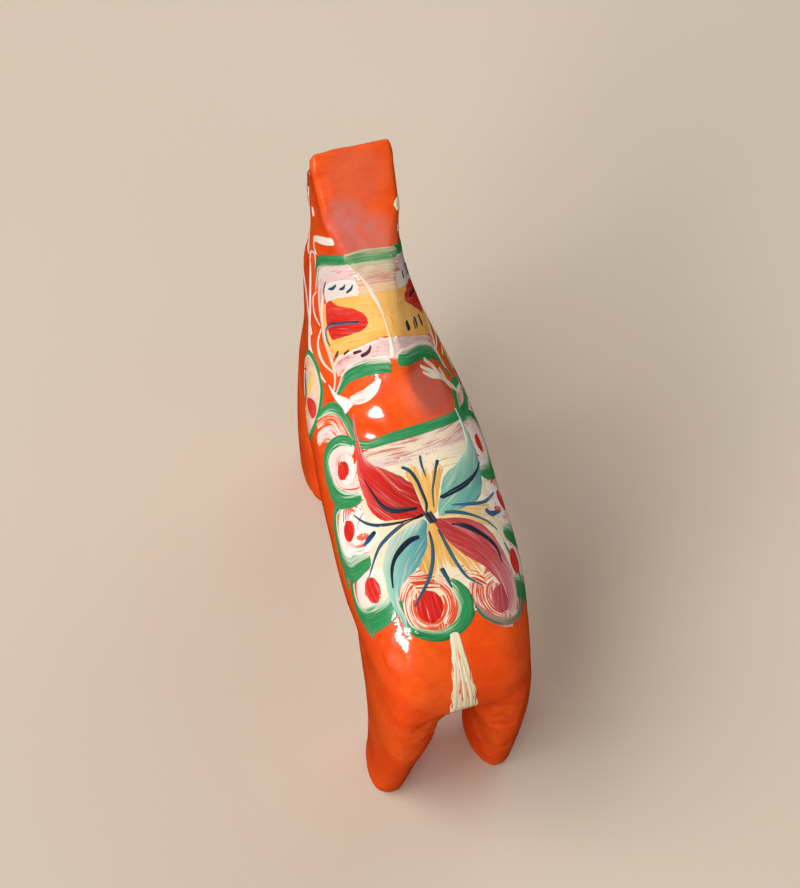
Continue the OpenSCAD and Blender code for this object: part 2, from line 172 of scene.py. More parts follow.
def rib_ring(r, grow, points=18):
    """One rib as a closed ring of points, grown outwards by grow."""
    back, belly = np.array([r[0], r[1]]), np.array([r[2], r[3]])
    along = (belly - back) / np.linalg.norm(belly - back)
    top, bottom = back - grow * along, belly + grow * along
    w, flat_back, flat_belly = r[4] * BARREL + grow, r[5] + 0.6 * grow, r[6] + 0.6 * grow
    p, q = 2.2 - 0.9 * r[7], 2.2 - 1.0 * r[7]
    half = []
    for k in range(points + 1):
        a = 0.5 * math.pi * k / points
        half.append((0.5 * (1 - math.cos(a)),
                     flat_back + (w - flat_back) * (1 - math.cos(a) ** p) ** (1 / q)))
    for k in range(1, points + 1):
        a = 0.5 * math.pi * k / points
        half.append((0.5 * (1 + math.sin(a)), flat_belly + (w - flat_belly)
                     * max(0.0, 1 - math.sin(a) ** 2.4) ** (1 / 2.4)))
    ring = []
    for side, rows in ((1, half), (-1, half[::-1])):
        for share, y in rows:
            c = top + (bottom - top) * share
            ring.append((c[0], side * y + r[8] * (1 - share) ** 2, c[1]))
    return np.array(ring)


def loft(rings):
    """Vertices and faces of a closed solid through rings of the same number of points."""
    m, n = len(rings), len(rings[0])
    faces = [(j * n + i, j * n + (i + 1) % n, (j + 1) * n + (i + 1) % n, (j + 1) * n + i)
             for j in range(m - 1) for i in range(n)]
    faces.append(tuple(range(n - 1, -1, -1)))
    faces.append(tuple((m - 1) * n + i for i in range(n)))
    return np.concatenate(rings), faces


def ribbed(table, grow):
    return loft([rib_ring(r, grow) for r in smooth_rows(table, 6)])


def leg(table, side, grow, sway=0.0, toe_in=0.0, points=48):
    rings = []
    for r in smooth_rows(table, 6):
        a = -2 * np.pi * np.arange(points) / points
        cx = np.abs(np.cos(a)) ** (2 / r[5]) * np.sign(np.cos(a))
        cy = np.abs(np.sin(a)) ** (2 / r[5]) * np.sign(np.sin(a))
        y = side * r[2] + sway * (1 - r[0] / 40)
        x = (r[3] + grow) * cx
        twist = side * toe_in * max(0, 1 - r[0] / 18)
        rings.append(np.stack([r[1] + x, y + (r[4] + grow) * cy - twist * x,
                               np.full(points, r[0])], 1))
    return loft(rings)


def ears(grow):
    """The block that both ears are cut from, with its sawn back."""
    c = np.mean(EAR_OUTLINE, 0)
    ring = [np.array(p) + grow * (np.array(p) - c) / np.linalg.norm(np.array(p) - c)
            for p in EAR_OUTLINE]
    half = [EAR_HALF + grow + 0.07 * (p[1] - 63.7) for p in ring]
    return loft([np.array([(p[0], side * w, p[1]) for p, w in zip(ring, half)])
                 for side in (1, -1)])


def mesh_from(name, verts, faces, scale=1.0):
    mesh = bpy.data.meshes.new(name)
    mesh.from_pydata([tuple(v) for v in np.asarray(verts) * scale], [], faces)
    mesh.validate()
    mesh.update()
    return mesh


def remeshed(parts, voxel):
    """The union of closed solids, as one even quad mesh."""
    verts, faces, base = [], [], 0
    for v, f in parts:
        verts.append(v)
        faces += [tuple(i + base for i in face) for face in f]
        base += len(v)
    mesh = mesh_from("union", np.concatenate(verts), faces)
    obj = linked("union", mesh)
    mod = obj.modifiers.new("remesh", "REMESH")
    mod.mode, mod.voxel_size, mod.adaptivity = "VOXEL", voxel, 0
    graph = bpy.context.evaluated_depsgraph_get()
    out = bpy.data.meshes.new_from_object(obj.evaluated_get(graph))
    bpy.data.objects.remove(obj)
    bpy.data.meshes.remove(mesh)
    co = np.zeros(len(out.vertices) * 3)
    out.vertices.foreach_get("co", co)
    quads = [tuple(p.vertices) for p in out.polygons]
    bpy.data.meshes.remove(out)
    return co.reshape(-1, 3), quads


def edges_of(quads):
    q = np.array(quads)
    pairs = np.concatenate([np.stack([q[:, k], q[:, (k + 1) % 4]], 1) for k in range(4)])
    return np.unique(np.sort(pairs, 1), axis=0)


def vertex_normals(co, quads):
    q = np.array(quads)
    n = np.cross(co[q[:, 2]] - co[q[:, 0]], co[q[:, 3]] - co[q[:, 1]])
    out = np.zeros_like(co)
    for k in range(4):
        for axis in range(3):
            out[:, axis] += np.bincount(q[:, k], n[:, axis], len(co))
    return out / np.maximum(np.linalg.norm(out, axis=1, keepdims=True), 1e-12)


def relaxed(co, quads, rounds, hollow, ridge):
    """Laplacian smoothing that fills hollows by one share and rounds ridges by another."""
    e = edges_of(quads)
    count = np.bincount(e.ravel(), minlength=len(co))[:, None]
    for _ in range(rounds):
        total = np.zeros_like(co)
        for axis in range(3):
            total[:, axis] = (np.bincount(e[:, 0], co[e[:, 1], axis], len(co))
                              + np.bincount(e[:, 1], co[e[:, 0], axis], len(co)))
        move = total / count - co
        n = vertex_normals(co, quads)
        out = (move * n).sum(1, keepdims=True)
        along = move - out * n
        co = co + 0.5 * along + np.where(out > 0, hollow, ridge) * out * n
    return co


def knife_cuts(co, quads, centres, depth, radius):
    """Flat facets: each cut shaves what stands above a plane sunk into the surface."""
    n = vertex_normals(co, quads)
    for c, d, r in zip(centres, depth, radius):
        k = int(np.argmin(np.linalg.norm(co - c, axis=1)))
        close = np.where(np.linalg.norm(co - co[k], axis=1) < r)[0]
        normal = n[close].mean(0)
        normal /= np.linalg.norm(normal)
        share = 1 - (np.linalg.norm(co[close] - co[k], axis=1) / r) ** 2
        above = (co[close] - co[k]) @ normal + d * share
        cut = np.clip(above, 0, 1.6 * d)
        co[close] -= normal * (cut * 0.9)[:, None]
    return co


def planed(co, at, facing, radius, share=0.9):
    """One flat left by the knife: the surface near at is pressed onto a plane."""
    at, facing = np.array(at), np.array(facing) / np.linalg.norm(facing)
    near = co[np.argmin(np.linalg.norm(co - at, axis=1))].copy()
    weight = np.clip(2.2 * (1 - (np.linalg.norm(co - near, axis=1) / radius) ** 2), 0, 1)
    return co - (share * weight * ((co - near) @ facing))[:, None] * facing


def carve(grow, voxel):
    parts = [ribbed(TRUNK, grow), ribbed(HEAD, grow), ears(grow)]
    for side in (1, -1):
        parts += [leg(HIND_LEG, side, grow, HIND_SWAY, HIND_TOE_IN), leg(FRONT_LEG, side, grow)]
    return remeshed(parts, voxel)


COARSE_VOXEL, FINE_VOXEL, PINE_VOXEL = 0.42, 0.3, 0.6
VOXEL = FINE_VOXEL
COAT_DEPTH = 0.7  # how far the pine block's surface lies inside the coat's


def even(rounds):
    """Rounds of smoothing that reach equally far whatever the voxel."""
    return round(rounds * (COARSE_VOXEL / VOXEL) ** 2)


body_co, body_quads = carve(0, VOXEL)
body_co = relaxed(body_co, body_quads, even(25), 0.5, 0.0)
eased = relaxed(body_co, body_quads, even(30), 0.5, 0.0)
body_co += np.clip((body_co[:, 2:] - 10) / 8, 0, 1) * (eased - body_co)
body_co = relaxed(body_co, body_quads, even(7), 0.5, 0.45)
rng = np.random.default_rng(7)
cut_at = body_co[rng.integers(0, len(body_co), CUTS)]
body_co = knife_cuts(body_co, body_quads, cut_at, rng.uniform(0.05, 0.16, CUTS),
                     rng.uniform(2.6, 4.8, CUTS))
for at, facing, radius in PLANED:
    body_co = planed(body_co, at, facing, radius)
body_co = relaxed(body_co, body_quads, 3, 0.5, 0.4)
body_co[:, 2] = np.maximum(body_co[:, 2], SOLE)
body_normals = vertex_normals(body_co, body_quads)
body_faces = np.array(body_quads)
skin = BVHTree.FromPolygons([tuple(c) for c in body_co], body_quads)


# ---------------------------------------------------------------- laying paint
def linear(code):
    """A colour written as hex, as linear numbers."""
    c = np.array([int(code[i:i + 2], 16) / 255 for i in (1, 3, 5)])
    return np.where(c <= 0.04045, c / 12.92, ((c + 0.055) / 1.055) ** 2.4)


def rgba(code):
    return (*linear(code), 1)


ORANGE = "#e8521a"
GREEN = "#2f8b52"
PINK_WHITE = "#e0c4c0"
WHITE = "#e6dcd5"
CREAM = "#e8d9bb"
OCHRE = "#f8c06c"
STAR = "#e2ae5c"
RED = "#d6261c"
DEEP_RED = "#bd2620"
TEAL = "#57a19b"
PALE_TEAL = "#a9d0c2"
NAVY = "#151f2d"
PLUM = "#4c2b3d"
GREY_BLUE = "#5c7d8b"


def snap(points):
    """The nearest points on the body and the smooth normals there."""
    where = np.empty((len(points), 3))
    index = np.empty(len(points), int)
    for i, p in enumerate(points):
        hit = skin.find_nearest(Vector(p))
        where[i], index[i] = hit[0], hit[2]
    corners = body_faces[index]
    gap = np.linalg.norm(body_co[corners] - where[:, None], axis=2)
    weight = 1 / (gap + 0.02)
    return where, unit((body_normals[corners] * weight[:, :, None]).sum(1))


def cast(origin, way):
    hit = skin.ray_cast(Vector(origin), Vector(way))
    if hit[0] is None:
        hit = skin.find_nearest(Vector(origin) + 35 * Vector(way))
    return tuple(hit[0])


def on_back(rows):
    """x, y, half width rows, laid on the body from above."""
    return [cast((x, y, 90), (0, 0, -1)) + (w,) for x, y, w in rows]


def on_flank(side, rows):
    """x, z, half width rows, laid on one side of the body."""
    return [cast((x, side * 40, z), (0, -side, 0)) + (w,) for x, z, w in rows]


def on_front(rows):
    """y, z, half width rows, laid on the body from the front."""
    return [cast((60, y, z), (-1, 0, 0)) + (w,) for y, z, w in rows]


def mirrored(rows):
    return [(r[0], -r[1]) + tuple(r[2:]) for r in rows]


def along(values, u):
    """A colour, or a list of colours from one end of a stroke to the other."""
    if isinstance(values, str):
        values = [values]
    table = np.array([linear(v) for v in values])
    at = np.linspace(0, 1, len(table))
    return np.stack([np.interp(u, at, table[:, k]) for k in range(3)], 1)


def numbers_along(values, u):
    """A number, or numbers spread from one end of a stroke to the other."""
    values = np.atleast_1d(np.asarray(values, float))
    return np.interp(u, np.linspace(0, 1, len(values)), values)


def show(name, mesh, node):
    """Puts one shown piece in the place of its CAD node."""
    obj = linked(name, mesh)
    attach(obj, "root")
    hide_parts(node)


COLUMN_GAP = 0.28  # between the columns of a stroke's mesh
FLAT_SHARE = 0.84  # of the half width, before the two narrow columns at each edge
EDGE_SHARES = [0.95, 1.0]
SUNK = 0.05  # how deep a stroke's edges reach into the coat


PIECES = []


class Piece:
    """A group of brush strokes that share one name, as one mesh."""

    def __init__(self, node, slot):
        PIECES.append(self)
        self.node, self.slot = node, slot
        self.verts, self.faces, self.smooth, self.data = [], [], [], []
        self.count = 0
        self.stroke_count = 0

    def stroke(self, rows, left, middle=None, right=None, blend=(0.7, -0.7, 0.2),
               under=ORANGE, dry=0.0, dry_edge=0.0, level=0.03, step=0.3, ragged=0.25,
               wobble=0.05, streak=1.0, rounded=0.8):
        """One pull of a loaded brush along rows of x, y, z and half width.

        left, middle and right are the paints on the brush, meeting where blend says.
        dry is how much of under shows through, from the start to the end.
        """
        middle = middle or left
        right = right or middle
        self.stroke_count += 1
        seed = (sum(map(ord, self.node)) * 13 + self.stroke_count * 7) % 97 + 0.5
        noise = np.random.default_rng(int(seed * 10))
        rows = np.asarray(rows, float)
        fine = smooth_rows(rows, 14)
        fine[:, :3] = snap(fine[:, :3])[0]
        run = np.concatenate([[0], np.cumsum(np.linalg.norm(np.diff(fine[:, :3], axis=0),
                                                            axis=1))])
        s = np.linspace(0, run[-1], max(5, int(run[-1] / step) + 1))
        near_end = np.array([0.03, 0.1, 0.22, 0.4, 0.65, 1.0])
        if rounded > 0:
            s = np.concatenate([s, near_end * rows[0, 3] * rounded,
                                run[-1] - near_end * rows[-1, 3] * rounded])
            s = np.unique(np.round(s[(s >= 0) & (s <= run[-1])], 4))
            s = s[np.concatenate([[True], np.diff(s) > 0.008])]
        m = len(s)
        path = np.stack([np.interp(s, run, fine[:, k]) for k in range(4)], 1)
        half = np.maximum(path[:, 3], 0.03)
        if rounded > 0:
            for gap, reach in ((s, half[0] * rounded), (s[-1] - s, half[-1] * rounded)):
                short = np.clip(1 - gap / reach, 0, 1)
                half = half * np.maximum(np.sqrt(1 - short ** 2.5), 0.12)
        centre, normal = snap(path[:, :3])
        tangent = unit(np.gradient(centre, axis=0))
        for _ in range(3):
            normal[1:-1] = normal[:-2] + normal[1:-1] + normal[2:]
            normal = unit(normal)
        side = unit(np.cross(normal, tangent))

        wide = half.max()
        inner = max(1, int(math.ceil(FLAT_SHARE * wide / COLUMN_GAP)))
        ts = np.concatenate([np.linspace(0, FLAT_SHARE, inner + 1), EDGE_SHARES])
        columns = {0: (centre, snap(centre)[1])}
        for way in (1, -1):
            edge = 1 + wobble * ripple(noise, s, 1.6) + 0.5 * wobble * ripple(noise, s, 0.5)
            p, d, n_here = centre, side * way, columns[0][1]
            for k in range(1, len(ts)):
                gap = (ts[k] - ts[k - 1]) * half * edge
                d = unit(d - (d * n_here).sum(1, keepdims=True) * n_here)
                p, n_here = snap(p + d * gap[:, None])
                columns[way * k] = (p, n_here)
        order = list(range(-len(ts) + 1, len(ts)))
        grid = np.stack([columns[k][0] for k in order], 1)
        normals = np.stack([columns[k][1] for k in order], 1)
        across = np.array([math.copysign(ts[abs(k)], k) if k else 0.0 for k in order])

        # ragged ends: each column of bristles starts and stops in its own place
        if ragged > 0 and run[-1] > 1.0:
            u = s / s[-1]
            lift = 1 - 0.7 * np.abs(across) ** 6
            first = ragged * lift * (0.5 + 0.5 * ripple(noise, across * wide * 6, 1.0))
            last = ragged * lift * (0.5 + 0.5 * ripple(noise, across * wide * 6 + 50, 1.0))
            for j in range(len(order)):
                at = (first[j] + u * (run[-1] - first[j] - last[j])) / run[-1]
                for k in range(3):
                    grid[:, j, k] = np.interp(at, u, grid[:, j, k])
                    normals[:, j, k] = np.interp(at, u, normals[:, j, k])

        bead = level * (1 - 0.75 * np.abs(across) ** 10) + 0.006 * np.abs(across) ** 3
        top = grid + normals * bead[None, :, None]
        low_right = grid[:, 0] - normals[:, 0] * SUNK
        low_left = grid[:, -1] - normals[:, -1] * SUNK
        n = len(order)
        base = self.count
        self.verts += [top.reshape(-1, 3), low_right, low_left]
        right0, left0 = base + m * n, base + m * n + m
        faces, smooth = [], []
        for i in range(m - 1):
            for j in range(n - 1):
                a = base + i * n + j
                faces.append((a, a + n, a + n + 1, a + 1))
                smooth.append(True)
            faces.append((base + i * n + n - 1, base + (i + 1) * n + n - 1,
                          left0 + i + 1, left0 + i))
            faces.append((base + (i + 1) * n, base + i * n, right0 + i, right0 + i + 1))
            faces.append((right0 + i, left0 + i, left0 + i + 1, right0 + i + 1))
            smooth += [True, True, False]
        faces.append(tuple(base + j for j in range(n)) + (left0, right0))
        end = base + (m - 1) * n
        faces.append(tuple(end + j for j in range(n - 1, -1, -1))
                     + (right0 + m - 1, left0 + m - 1))
        smooth += [False, False]
        self.faces += faces
        self.smooth += smooth
        self.count += m * n + 2 * m

        u = s / max(s[-1], 1e-9)
        uu = np.concatenate([np.repeat(u, n), u, u])
        tt = np.concatenate([np.tile(across, m), -np.ones(m), np.ones(m)])
        ss = np.concatenate([np.repeat(s, n), s, s])
        hh = np.concatenate([np.repeat(half, n), half, half])
        dryness = numbers_along(dry, uu) + dry_edge * np.abs(tt) ** 3
        self.data.append(dict(
            brush=np.stack([ss, tt * hh, np.full(len(uu), seed)], 1),
            across=tt,
            left=np.column_stack([along(left, uu), np.full(len(uu), blend[0])]),
            middle=np.column_stack([along(middle, uu), np.full(len(uu), blend[2])]),
            right=np.column_stack([along(right, uu), np.full(len(uu), blend[1])]),
            under=np.column_stack([along(under, uu), np.clip(dryness, 0, 1)]),
            streak=np.full(len(uu), streak),
        ))

    def dab(self, centre, reach, half, colour, turn=(1, 0, 0), **more):
        """A filled oval dab of the given half length and half width."""
        where, normal = snap([centre])
        turn = np.array(turn, float)
        turn -= (turn @ normal[0]) * normal[0]
        turn /= np.linalg.norm(turn)
        rows = []
        for u in (-1, -0.93, -0.75, -0.4, 0, 0.4, 0.75, 0.93, 1):
            p = where[0] + turn * reach * u
            rows.append(tuple(p) + (half * max(0.08, math.sqrt(1 - u * u)),))
        self.stroke(rows, colour, ragged=0.0, rounded=0.0, **more)

    def build(self, material):
        verts = np.concatenate(self.verts) * MM
        mesh = bpy.data.meshes.new(self.node)
        mesh.from_pydata([tuple(v) for v in verts], [], self.faces)
        mesh.polygons.foreach_set("use_smooth", self.smooth)
        for name in ("left", "middle", "right", "under"):
            layer = mesh.attributes.new("paint_" + name, "FLOAT_COLOR", "POINT")
            layer.data.foreach_set("color", np.concatenate([d[name] for d in self.data]).ravel())
        layer = mesh.attributes.new("brush", "FLOAT_VECTOR", "POINT")
        layer.data.foreach_set("vector", np.concatenate([d["brush"] for d in self.data]).ravel())
        for name in ("across", "streak"):
            layer = mesh.attributes.new(name, "FLOAT", "POINT")
            layer.data.foreach_set("value", np.concatenate([d[name] for d in self.data]))
        mesh.materials.append(material)
        mesh.update()
        show("painted_" + self.node, mesh, self.node)


def ripple(noise, at, period):
    """Smooth random wave from -1 to 1 at the given places."""
    at = np.asarray(at, float)
    knots = np.arange(math.floor(at.min() / period) - 1, math.ceil(at.max() / period) + 3)
    values = noise.uniform(-1, 1, len(knots))
    x = at / period - knots[0]
    i = np.floor(x).astype(int)
    t = x - i
    t = t * t * (3 - 2 * t)
    return values[i] * (1 - t) + values[i + 1] * t


# ---------------------------------------------------------------- materials
class Nodes:
    """Short calls for building a node tree."""

    def __init__(self, tree):
        self.tree = tree

    def add(self, kind, **settings):
        node = self.tree.nodes.new(kind)
        for key, value in settings.items():
            setattr(node, key, value)
        return node

    def put(self, value, socket):
        if hasattr(value, "is_output"):
            self.tree.links.new(value, socket)
        else:
            socket.default_value = value

    def maths(self, operation, a, b=0.0, c=0.0, clamp=False):
        node = self.add("ShaderNodeMath", operation=operation, use_clamp=clamp)
        for value, socket in zip((a, b, c), node.inputs):
            self.put(value, socket)
        return node.outputs[0]

    def times(self, a, b):
        return self.maths("MULTIPLY", a, b)

    def minus(self, a, b):
        return self.maths("SUBTRACT", a, b)

    def add_up(self, a, b):
        return self.maths("ADD", a, b)

    def ramp(self, value, low, high, out_low=0.0, out_high=1.0):
        """value from low..high to out_low..out_high, smoothed."""
        node = self.add("ShaderNodeMapRange", interpolation_type="SMOOTHSTEP")
        for v, socket in zip((value, low, high, out_low, out_high), node.inputs):
            self.put(v, socket)
        return node.outputs[0]

    def mix(self, share, a, b, kind="MIX"):
        node = self.add("ShaderNodeMix", data_type="RGBA", blend_type=kind)
        for v, socket in zip((share, a, b), (node.inputs[0], node.inputs[6], node.inputs[7])):
            self.put(v, socket)
        return node.outputs[2]

    def noise(self, vector, scale=1.0, detail=2.0, rough=0.5):
        node = self.add("ShaderNodeTexNoise", noise_dimensions="3D")
        for name, value in (("Vector", vector), ("Scale", scale), ("Detail", detail),
                            ("Roughness", rough)):
            self.put(value, node.inputs[name])
        return node.outputs["Fac"]

    def attribute(self, name):
        return self.add("ShaderNodeAttribute", attribute_name=name).outputs

    def bump(self, height, depth):
        node = self.add("ShaderNodeBump")
        node.inputs["Distance"].default_value = depth
        self.put(height, node.inputs["Height"])
        return node.outputs[0]

    def surface(self, inputs):
        """The material's one shader, with its inputs by name, on the output."""
        shader = self.add("ShaderNodeBsdfPrincipled")
        for name, value in inputs.items():
            self.put(value, shader.inputs[name])
        out = self.add("ShaderNodeOutputMaterial")
        self.put(shader.outputs[0], out.inputs["Surface"])

    def millimetres(self):
        place = self.add("ShaderNodeTexCoord").outputs["Object"]
        return self.stretched(place, (1000, 1000, 1000))

    def stretched(self, vector, factors):
        node = self.add("ShaderNodeVectorMath", operation="MULTIPLY")
        self.put(vector, node.inputs[0])
        node.inputs[1].default_value = factors
        return node.outputs[0]


def new_material(name):
    material = bpy.data.materials.new(name)
    material.use_nodes = True
    material.node_tree.nodes.clear()
    return material, Nodes(material.node_tree)


def gloss(nodes, colour, height, depth, coat_depth, roughness):
    """A varnished surface: rough paint under a clear coat, with relief in both."""
    nodes.surface({
        "Base Color": colour, "Roughness": roughness, "IOR": 1.45, "Specular IOR Level": 0.1,
        "Coat Weight": 0.4, "Coat Roughness": 0.07, "Coat IOR": 1.42,
        "Normal": nodes.bump(height, depth), "Coat Normal": nodes.bump(height, coat_depth),
    })


def brushed_paint(name):
    """Decorating paint pulled by a bristle brush, in the colours that the strokes carry."""
    material, n = new_material(name)
    brush = n.attribute("brush")["Vector"]
    left, middle = n.attribute("paint_left"), n.attribute("paint_middle")
    right, under = n.attribute("paint_right"), n.attribute("paint_under")
    across, amount = n.attribute("across")["Fac"], n.attribute("streak")["Fac"]
    coarse = n.noise(n.stretched(brush, (0.16, 2.6, 3.7)), rough=0.55)
    fine = n.noise(n.stretched(brush, (0.24, 7.5, 5.1)), rough=0.6)
    patch = n.noise(n.stretched(brush, (0.5, 0.9, 8.3)))
    bristle = n.add_up(n.times(coarse, 0.45), n.times(fine, 0.55))
    spread = n.maths("MULTIPLY_ADD", n.minus(bristle, 0.5), 3.4, 0.5, clamp=True)
    # the paints meet where left and right say, softened by middle and torn by the bristles
    soft = middle["Alpha"]
    place = n.add_up(across, n.times(n.minus(spread, 0.5), n.times(soft, 3.0)))
    colour = middle["Color"]
    for paint, ends in ((left, (0.0, 1.0)), (right, (1.0, 0.0))):
        meets = paint["Alpha"]
        share = n.ramp(place, n.minus(meets, soft), n.add_up(meets, soft), *ends)
        colour = n.mix(share, colour, paint["Color"])
    # thick streaks are paler, thin ones deeper
    tone = n.times(n.minus(spread, 0.5), amount)
    pale = n.times(n.maths("MAXIMUM", tone, 0.0), 0.2)
    deep = n.times(n.maths("MAXIMUM", n.times(tone, -1.0), 0.0), 0.55)
    colour = n.mix(pale, colour, (1, 1, 1, 1), "SCREEN")
    colour = n.mix(deep, colour, n.mix(1.0, colour, colour, "MULTIPLY"))
    # where the brush ran dry, what lies under it shows
    bare = n.minus(1.0, under["Alpha"])
    patchy = n.times(n.minus(patch, 0.5), 0.7)
    edge = n.maths("MINIMUM", n.times(under["Alpha"], 4.0), 1.0)
    level = n.add_up(n.maths("MULTIPLY_ADD", spread, 0.96, 0.02), n.times(patchy, edge))
    worn = n.ramp(level, n.minus(bare, 0.09), n.add_up(bare, 0.09))
    colour = n.mix(worn, colour, under["Color"])
    gloss(n, colour, bristle, 0.00006, 0.000012, n.ramp(fine, 0.3, 0.7, 0.3, 0.42))
    return material


# painted reflections: hazy patches of reflected sky painted into the coat's colour: where, reach,
# share
PAINTED_REFLECTIONS = [
    ((12.0, 0.2, 62.2), 4.2, 0.6), ((-0.6, -4.4, 49.2), 4.8, 0.5),
    ((13.8, 2.0, 64.4), 2.8, 0.6), ((16.6, 0.0, 67.2), 4.6, 0.24),
]


def orange_coat():
    """The dipped and brushed orange-red ground, under the same varnish, with painted reflections
    mixed into its colour.
    """
    material, n = new_material("orange_coat")
    place = n.millimetres()
    cloud = n.noise(place, scale=0.16, detail=3.0)
    mottle = n.noise(place, scale=0.9, detail=4.0, rough=0.6)
    lines = n.noise(n.stretched(place, (3.4, 0.35, 0.35)), detail=3.0, rough=0.6)
    specks = n.noise(place, scale=2.6, detail=1.0)
    colour = n.mix(n.ramp(cloud, 0.35, 0.65), rgba("#e2480f"), rgba("#ee5b1c"))
    colour = n.mix(n.times(n.ramp(mottle, 0.4, 0.7), 0.35), colour, rgba("#d93c0e"))
    colour = n.mix(n.times(n.ramp(lines, 0.5, 0.75), 0.25), colour, rgba("#f36a2a"))
    # painted reflection: a mottled pinkish-grey haze mixed into the orange near each centre,
    # fading out by its reach
    for where, reach, share in PAINTED_REFLECTIONS:
        gap = n.add("ShaderNodeVectorMath", operation="DISTANCE")
        n.put(place, gap.inputs[0])
        gap.inputs[1].default_value = where
        near = n.ramp(gap.outputs["Value"], reach * 0.35, reach, 1.0, 0.0)
        painted_haze = n.times(near, n.ramp(mottle, 0.32, 0.62, 0.55, 1.0))
        colour = n.mix(n.times(painted_haze, share), colour, rgba("#b67c78"))
    dust = n.ramp(specks, 0.795, 0.815)
    colour = n.mix(n.times(dust, 0.6), colour, rgba("#c9a08a"))
    height = n.add_up(n.times(lines, 0.7), n.times(mottle, 0.3))
    gloss(n, colour, height, 0.0001, 0.00002, n.ramp(mottle, 0.3, 0.7, 0.28, 0.4))
    return material


def bare_pine():
    """Sawn pine, which shows under the feet."""
    material, n = new_material("bare_pine")
    place = n.millimetres()
    bend = n.noise(place, scale=0.12, detail=2.0)
    wood = n.add("ShaderNodeTexWave", wave_type="RINGS", rings_direction="X",
                 wave_profile="SAW")
    n.put(n.stretched(place, (0.08, 0.55, 0.55)), wood.inputs["Vector"])
    n.put(n.times(bend, 3.0), wood.inputs["Phase Offset"])
    wood.inputs["Scale"].default_value = 1.0
    wood.inputs["Distortion"].default_value = 1.2
    fibre = n.noise(n.stretched(place, (0.5, 7.0, 7.0)), detail=3.0, rough=0.65)
    colour = n.mix(wood.outputs["Fac"], rgba("#dfb982"),
                   rgba("#c08d52"))
    colour = n.mix(n.times(fibre, 0.35), colour, rgba("#a97843"))
    n.surface({"Base Color": colour, "Roughness": n.ramp(fibre, 0.3, 0.7, 0.55, 0.75),
               "Normal": n.bump(fibre, 0.00006)})
    return material


# ---------------------------------------------------------------- body pieces
def add_carved(name, co, quads, material, node):
    mesh = mesh_from(name, co, quads, MM)
    mesh.polygons.foreach_set("use_smooth", [True] * len(mesh.polygons))
    mesh.materials.append(material)
    show(name, mesh, node)


add_carved("painted_coat", body_co, body_quads, orange_coat(), "base_coat")
pine_co, pine_quads = carve(-COAT_DEPTH, PINE_VOXEL)
pine_co = relaxed(pine_co, pine_quads, 6, 0.5, 0.4)
add_carved("pine_block", pine_co, pine_quads, bare_pine(), "pine_core")

# ---------------------------------------------------------------- the painting
# Rows are x, y, z and half width, in millimetres. A stroke's left is +Y on a stroke
# that runs towards the head.
def both_sides(paint):
    """Paints the same strokes on the left side and on the right side."""
    paint(lambda rows: rows, 1)
    paint(mirrored, -1)


def lay(piece, strokes, **style):
    """Strokes of one piece in turn: each has its rows, its paints and what it adds to style."""
    for rows, paints, *own in strokes:
        piece.stroke(rows, *paints, **{**style, **(own[0] if own else {})})


# The scallops on the left flank from the front: each one's ring, paints and dryness, then
# its filling, paint and dryness.
SCALLOPS = [
    ([(-4.5, 5.7, 46, 0.8), (-3.3, 6.7, 44.8, 1), (-3.5, 7.7, 43.3, 1.05),
      (-5.2, 8.1, 42.8, 1.05), (-7.1, 7.8, 43.3, 1.05), (-8.4, 7.1, 44.6, 1),
      (-9, 6.1, 45.7, 0.8)],
     (PINK_WHITE, "#f3dcd8", WHITE), [0.3, 0.12, 0.02, 0.12, 0.32],
     [(-4.2, 6.4, 45.2, 0.9), (-5.8, 6.9, 44.8, 1.3), (-7.6, 6.6, 45.1, 1)],
     "#f2e2de", [0.3, 0, 0.1]),
    ([(-10.8, 6.3, 45.7, 0.9), (-10.3, 7.5, 44.4, 1.1), (-10.9, 8.5, 43, 1.1),
      (-12.5, 8.9, 42.3, 1.1), (-14.2, 8.8, 42.6, 1.1), (-15.3, 7.9, 44, 1),
      (-15.7, 6.6, 45.4, 0.9)],
     (PINK_WHITE, "#f6ebe6", WHITE), [0.35, 0.3, 0.06, 0.1, 0.2, 0.3],
     [(-11.2, 6.6, 45.4, 1.1), (-12.8, 7.6, 44.4, 1.5), (-14.6, 7.2, 45, 1.2)],
     "#f4ece6", [0.25, 0, 0.1]),
    ([(-18.4, 6.9, 45, 0.9), (-18.5, 8.2, 43.3, 0.9), (-19.5, 8.7, 42.1, 0.9),
      (-20.9, 8.4, 42.3, 0.9), (-21.8, 7.4, 43.6, 0.9), (-22, 6, 45.1, 0.8)],
     (WHITE, "#f3ded6", WHITE), [0.3, 0.1, 0.06, 0.2, 0.3],
     [(-18.6, 6.3, 45.3, 1), (-20.2, 7.3, 44.4, 1.4), (-21.8, 6.4, 45, 1.1)],
     "#f4ece6", 0.05),
]
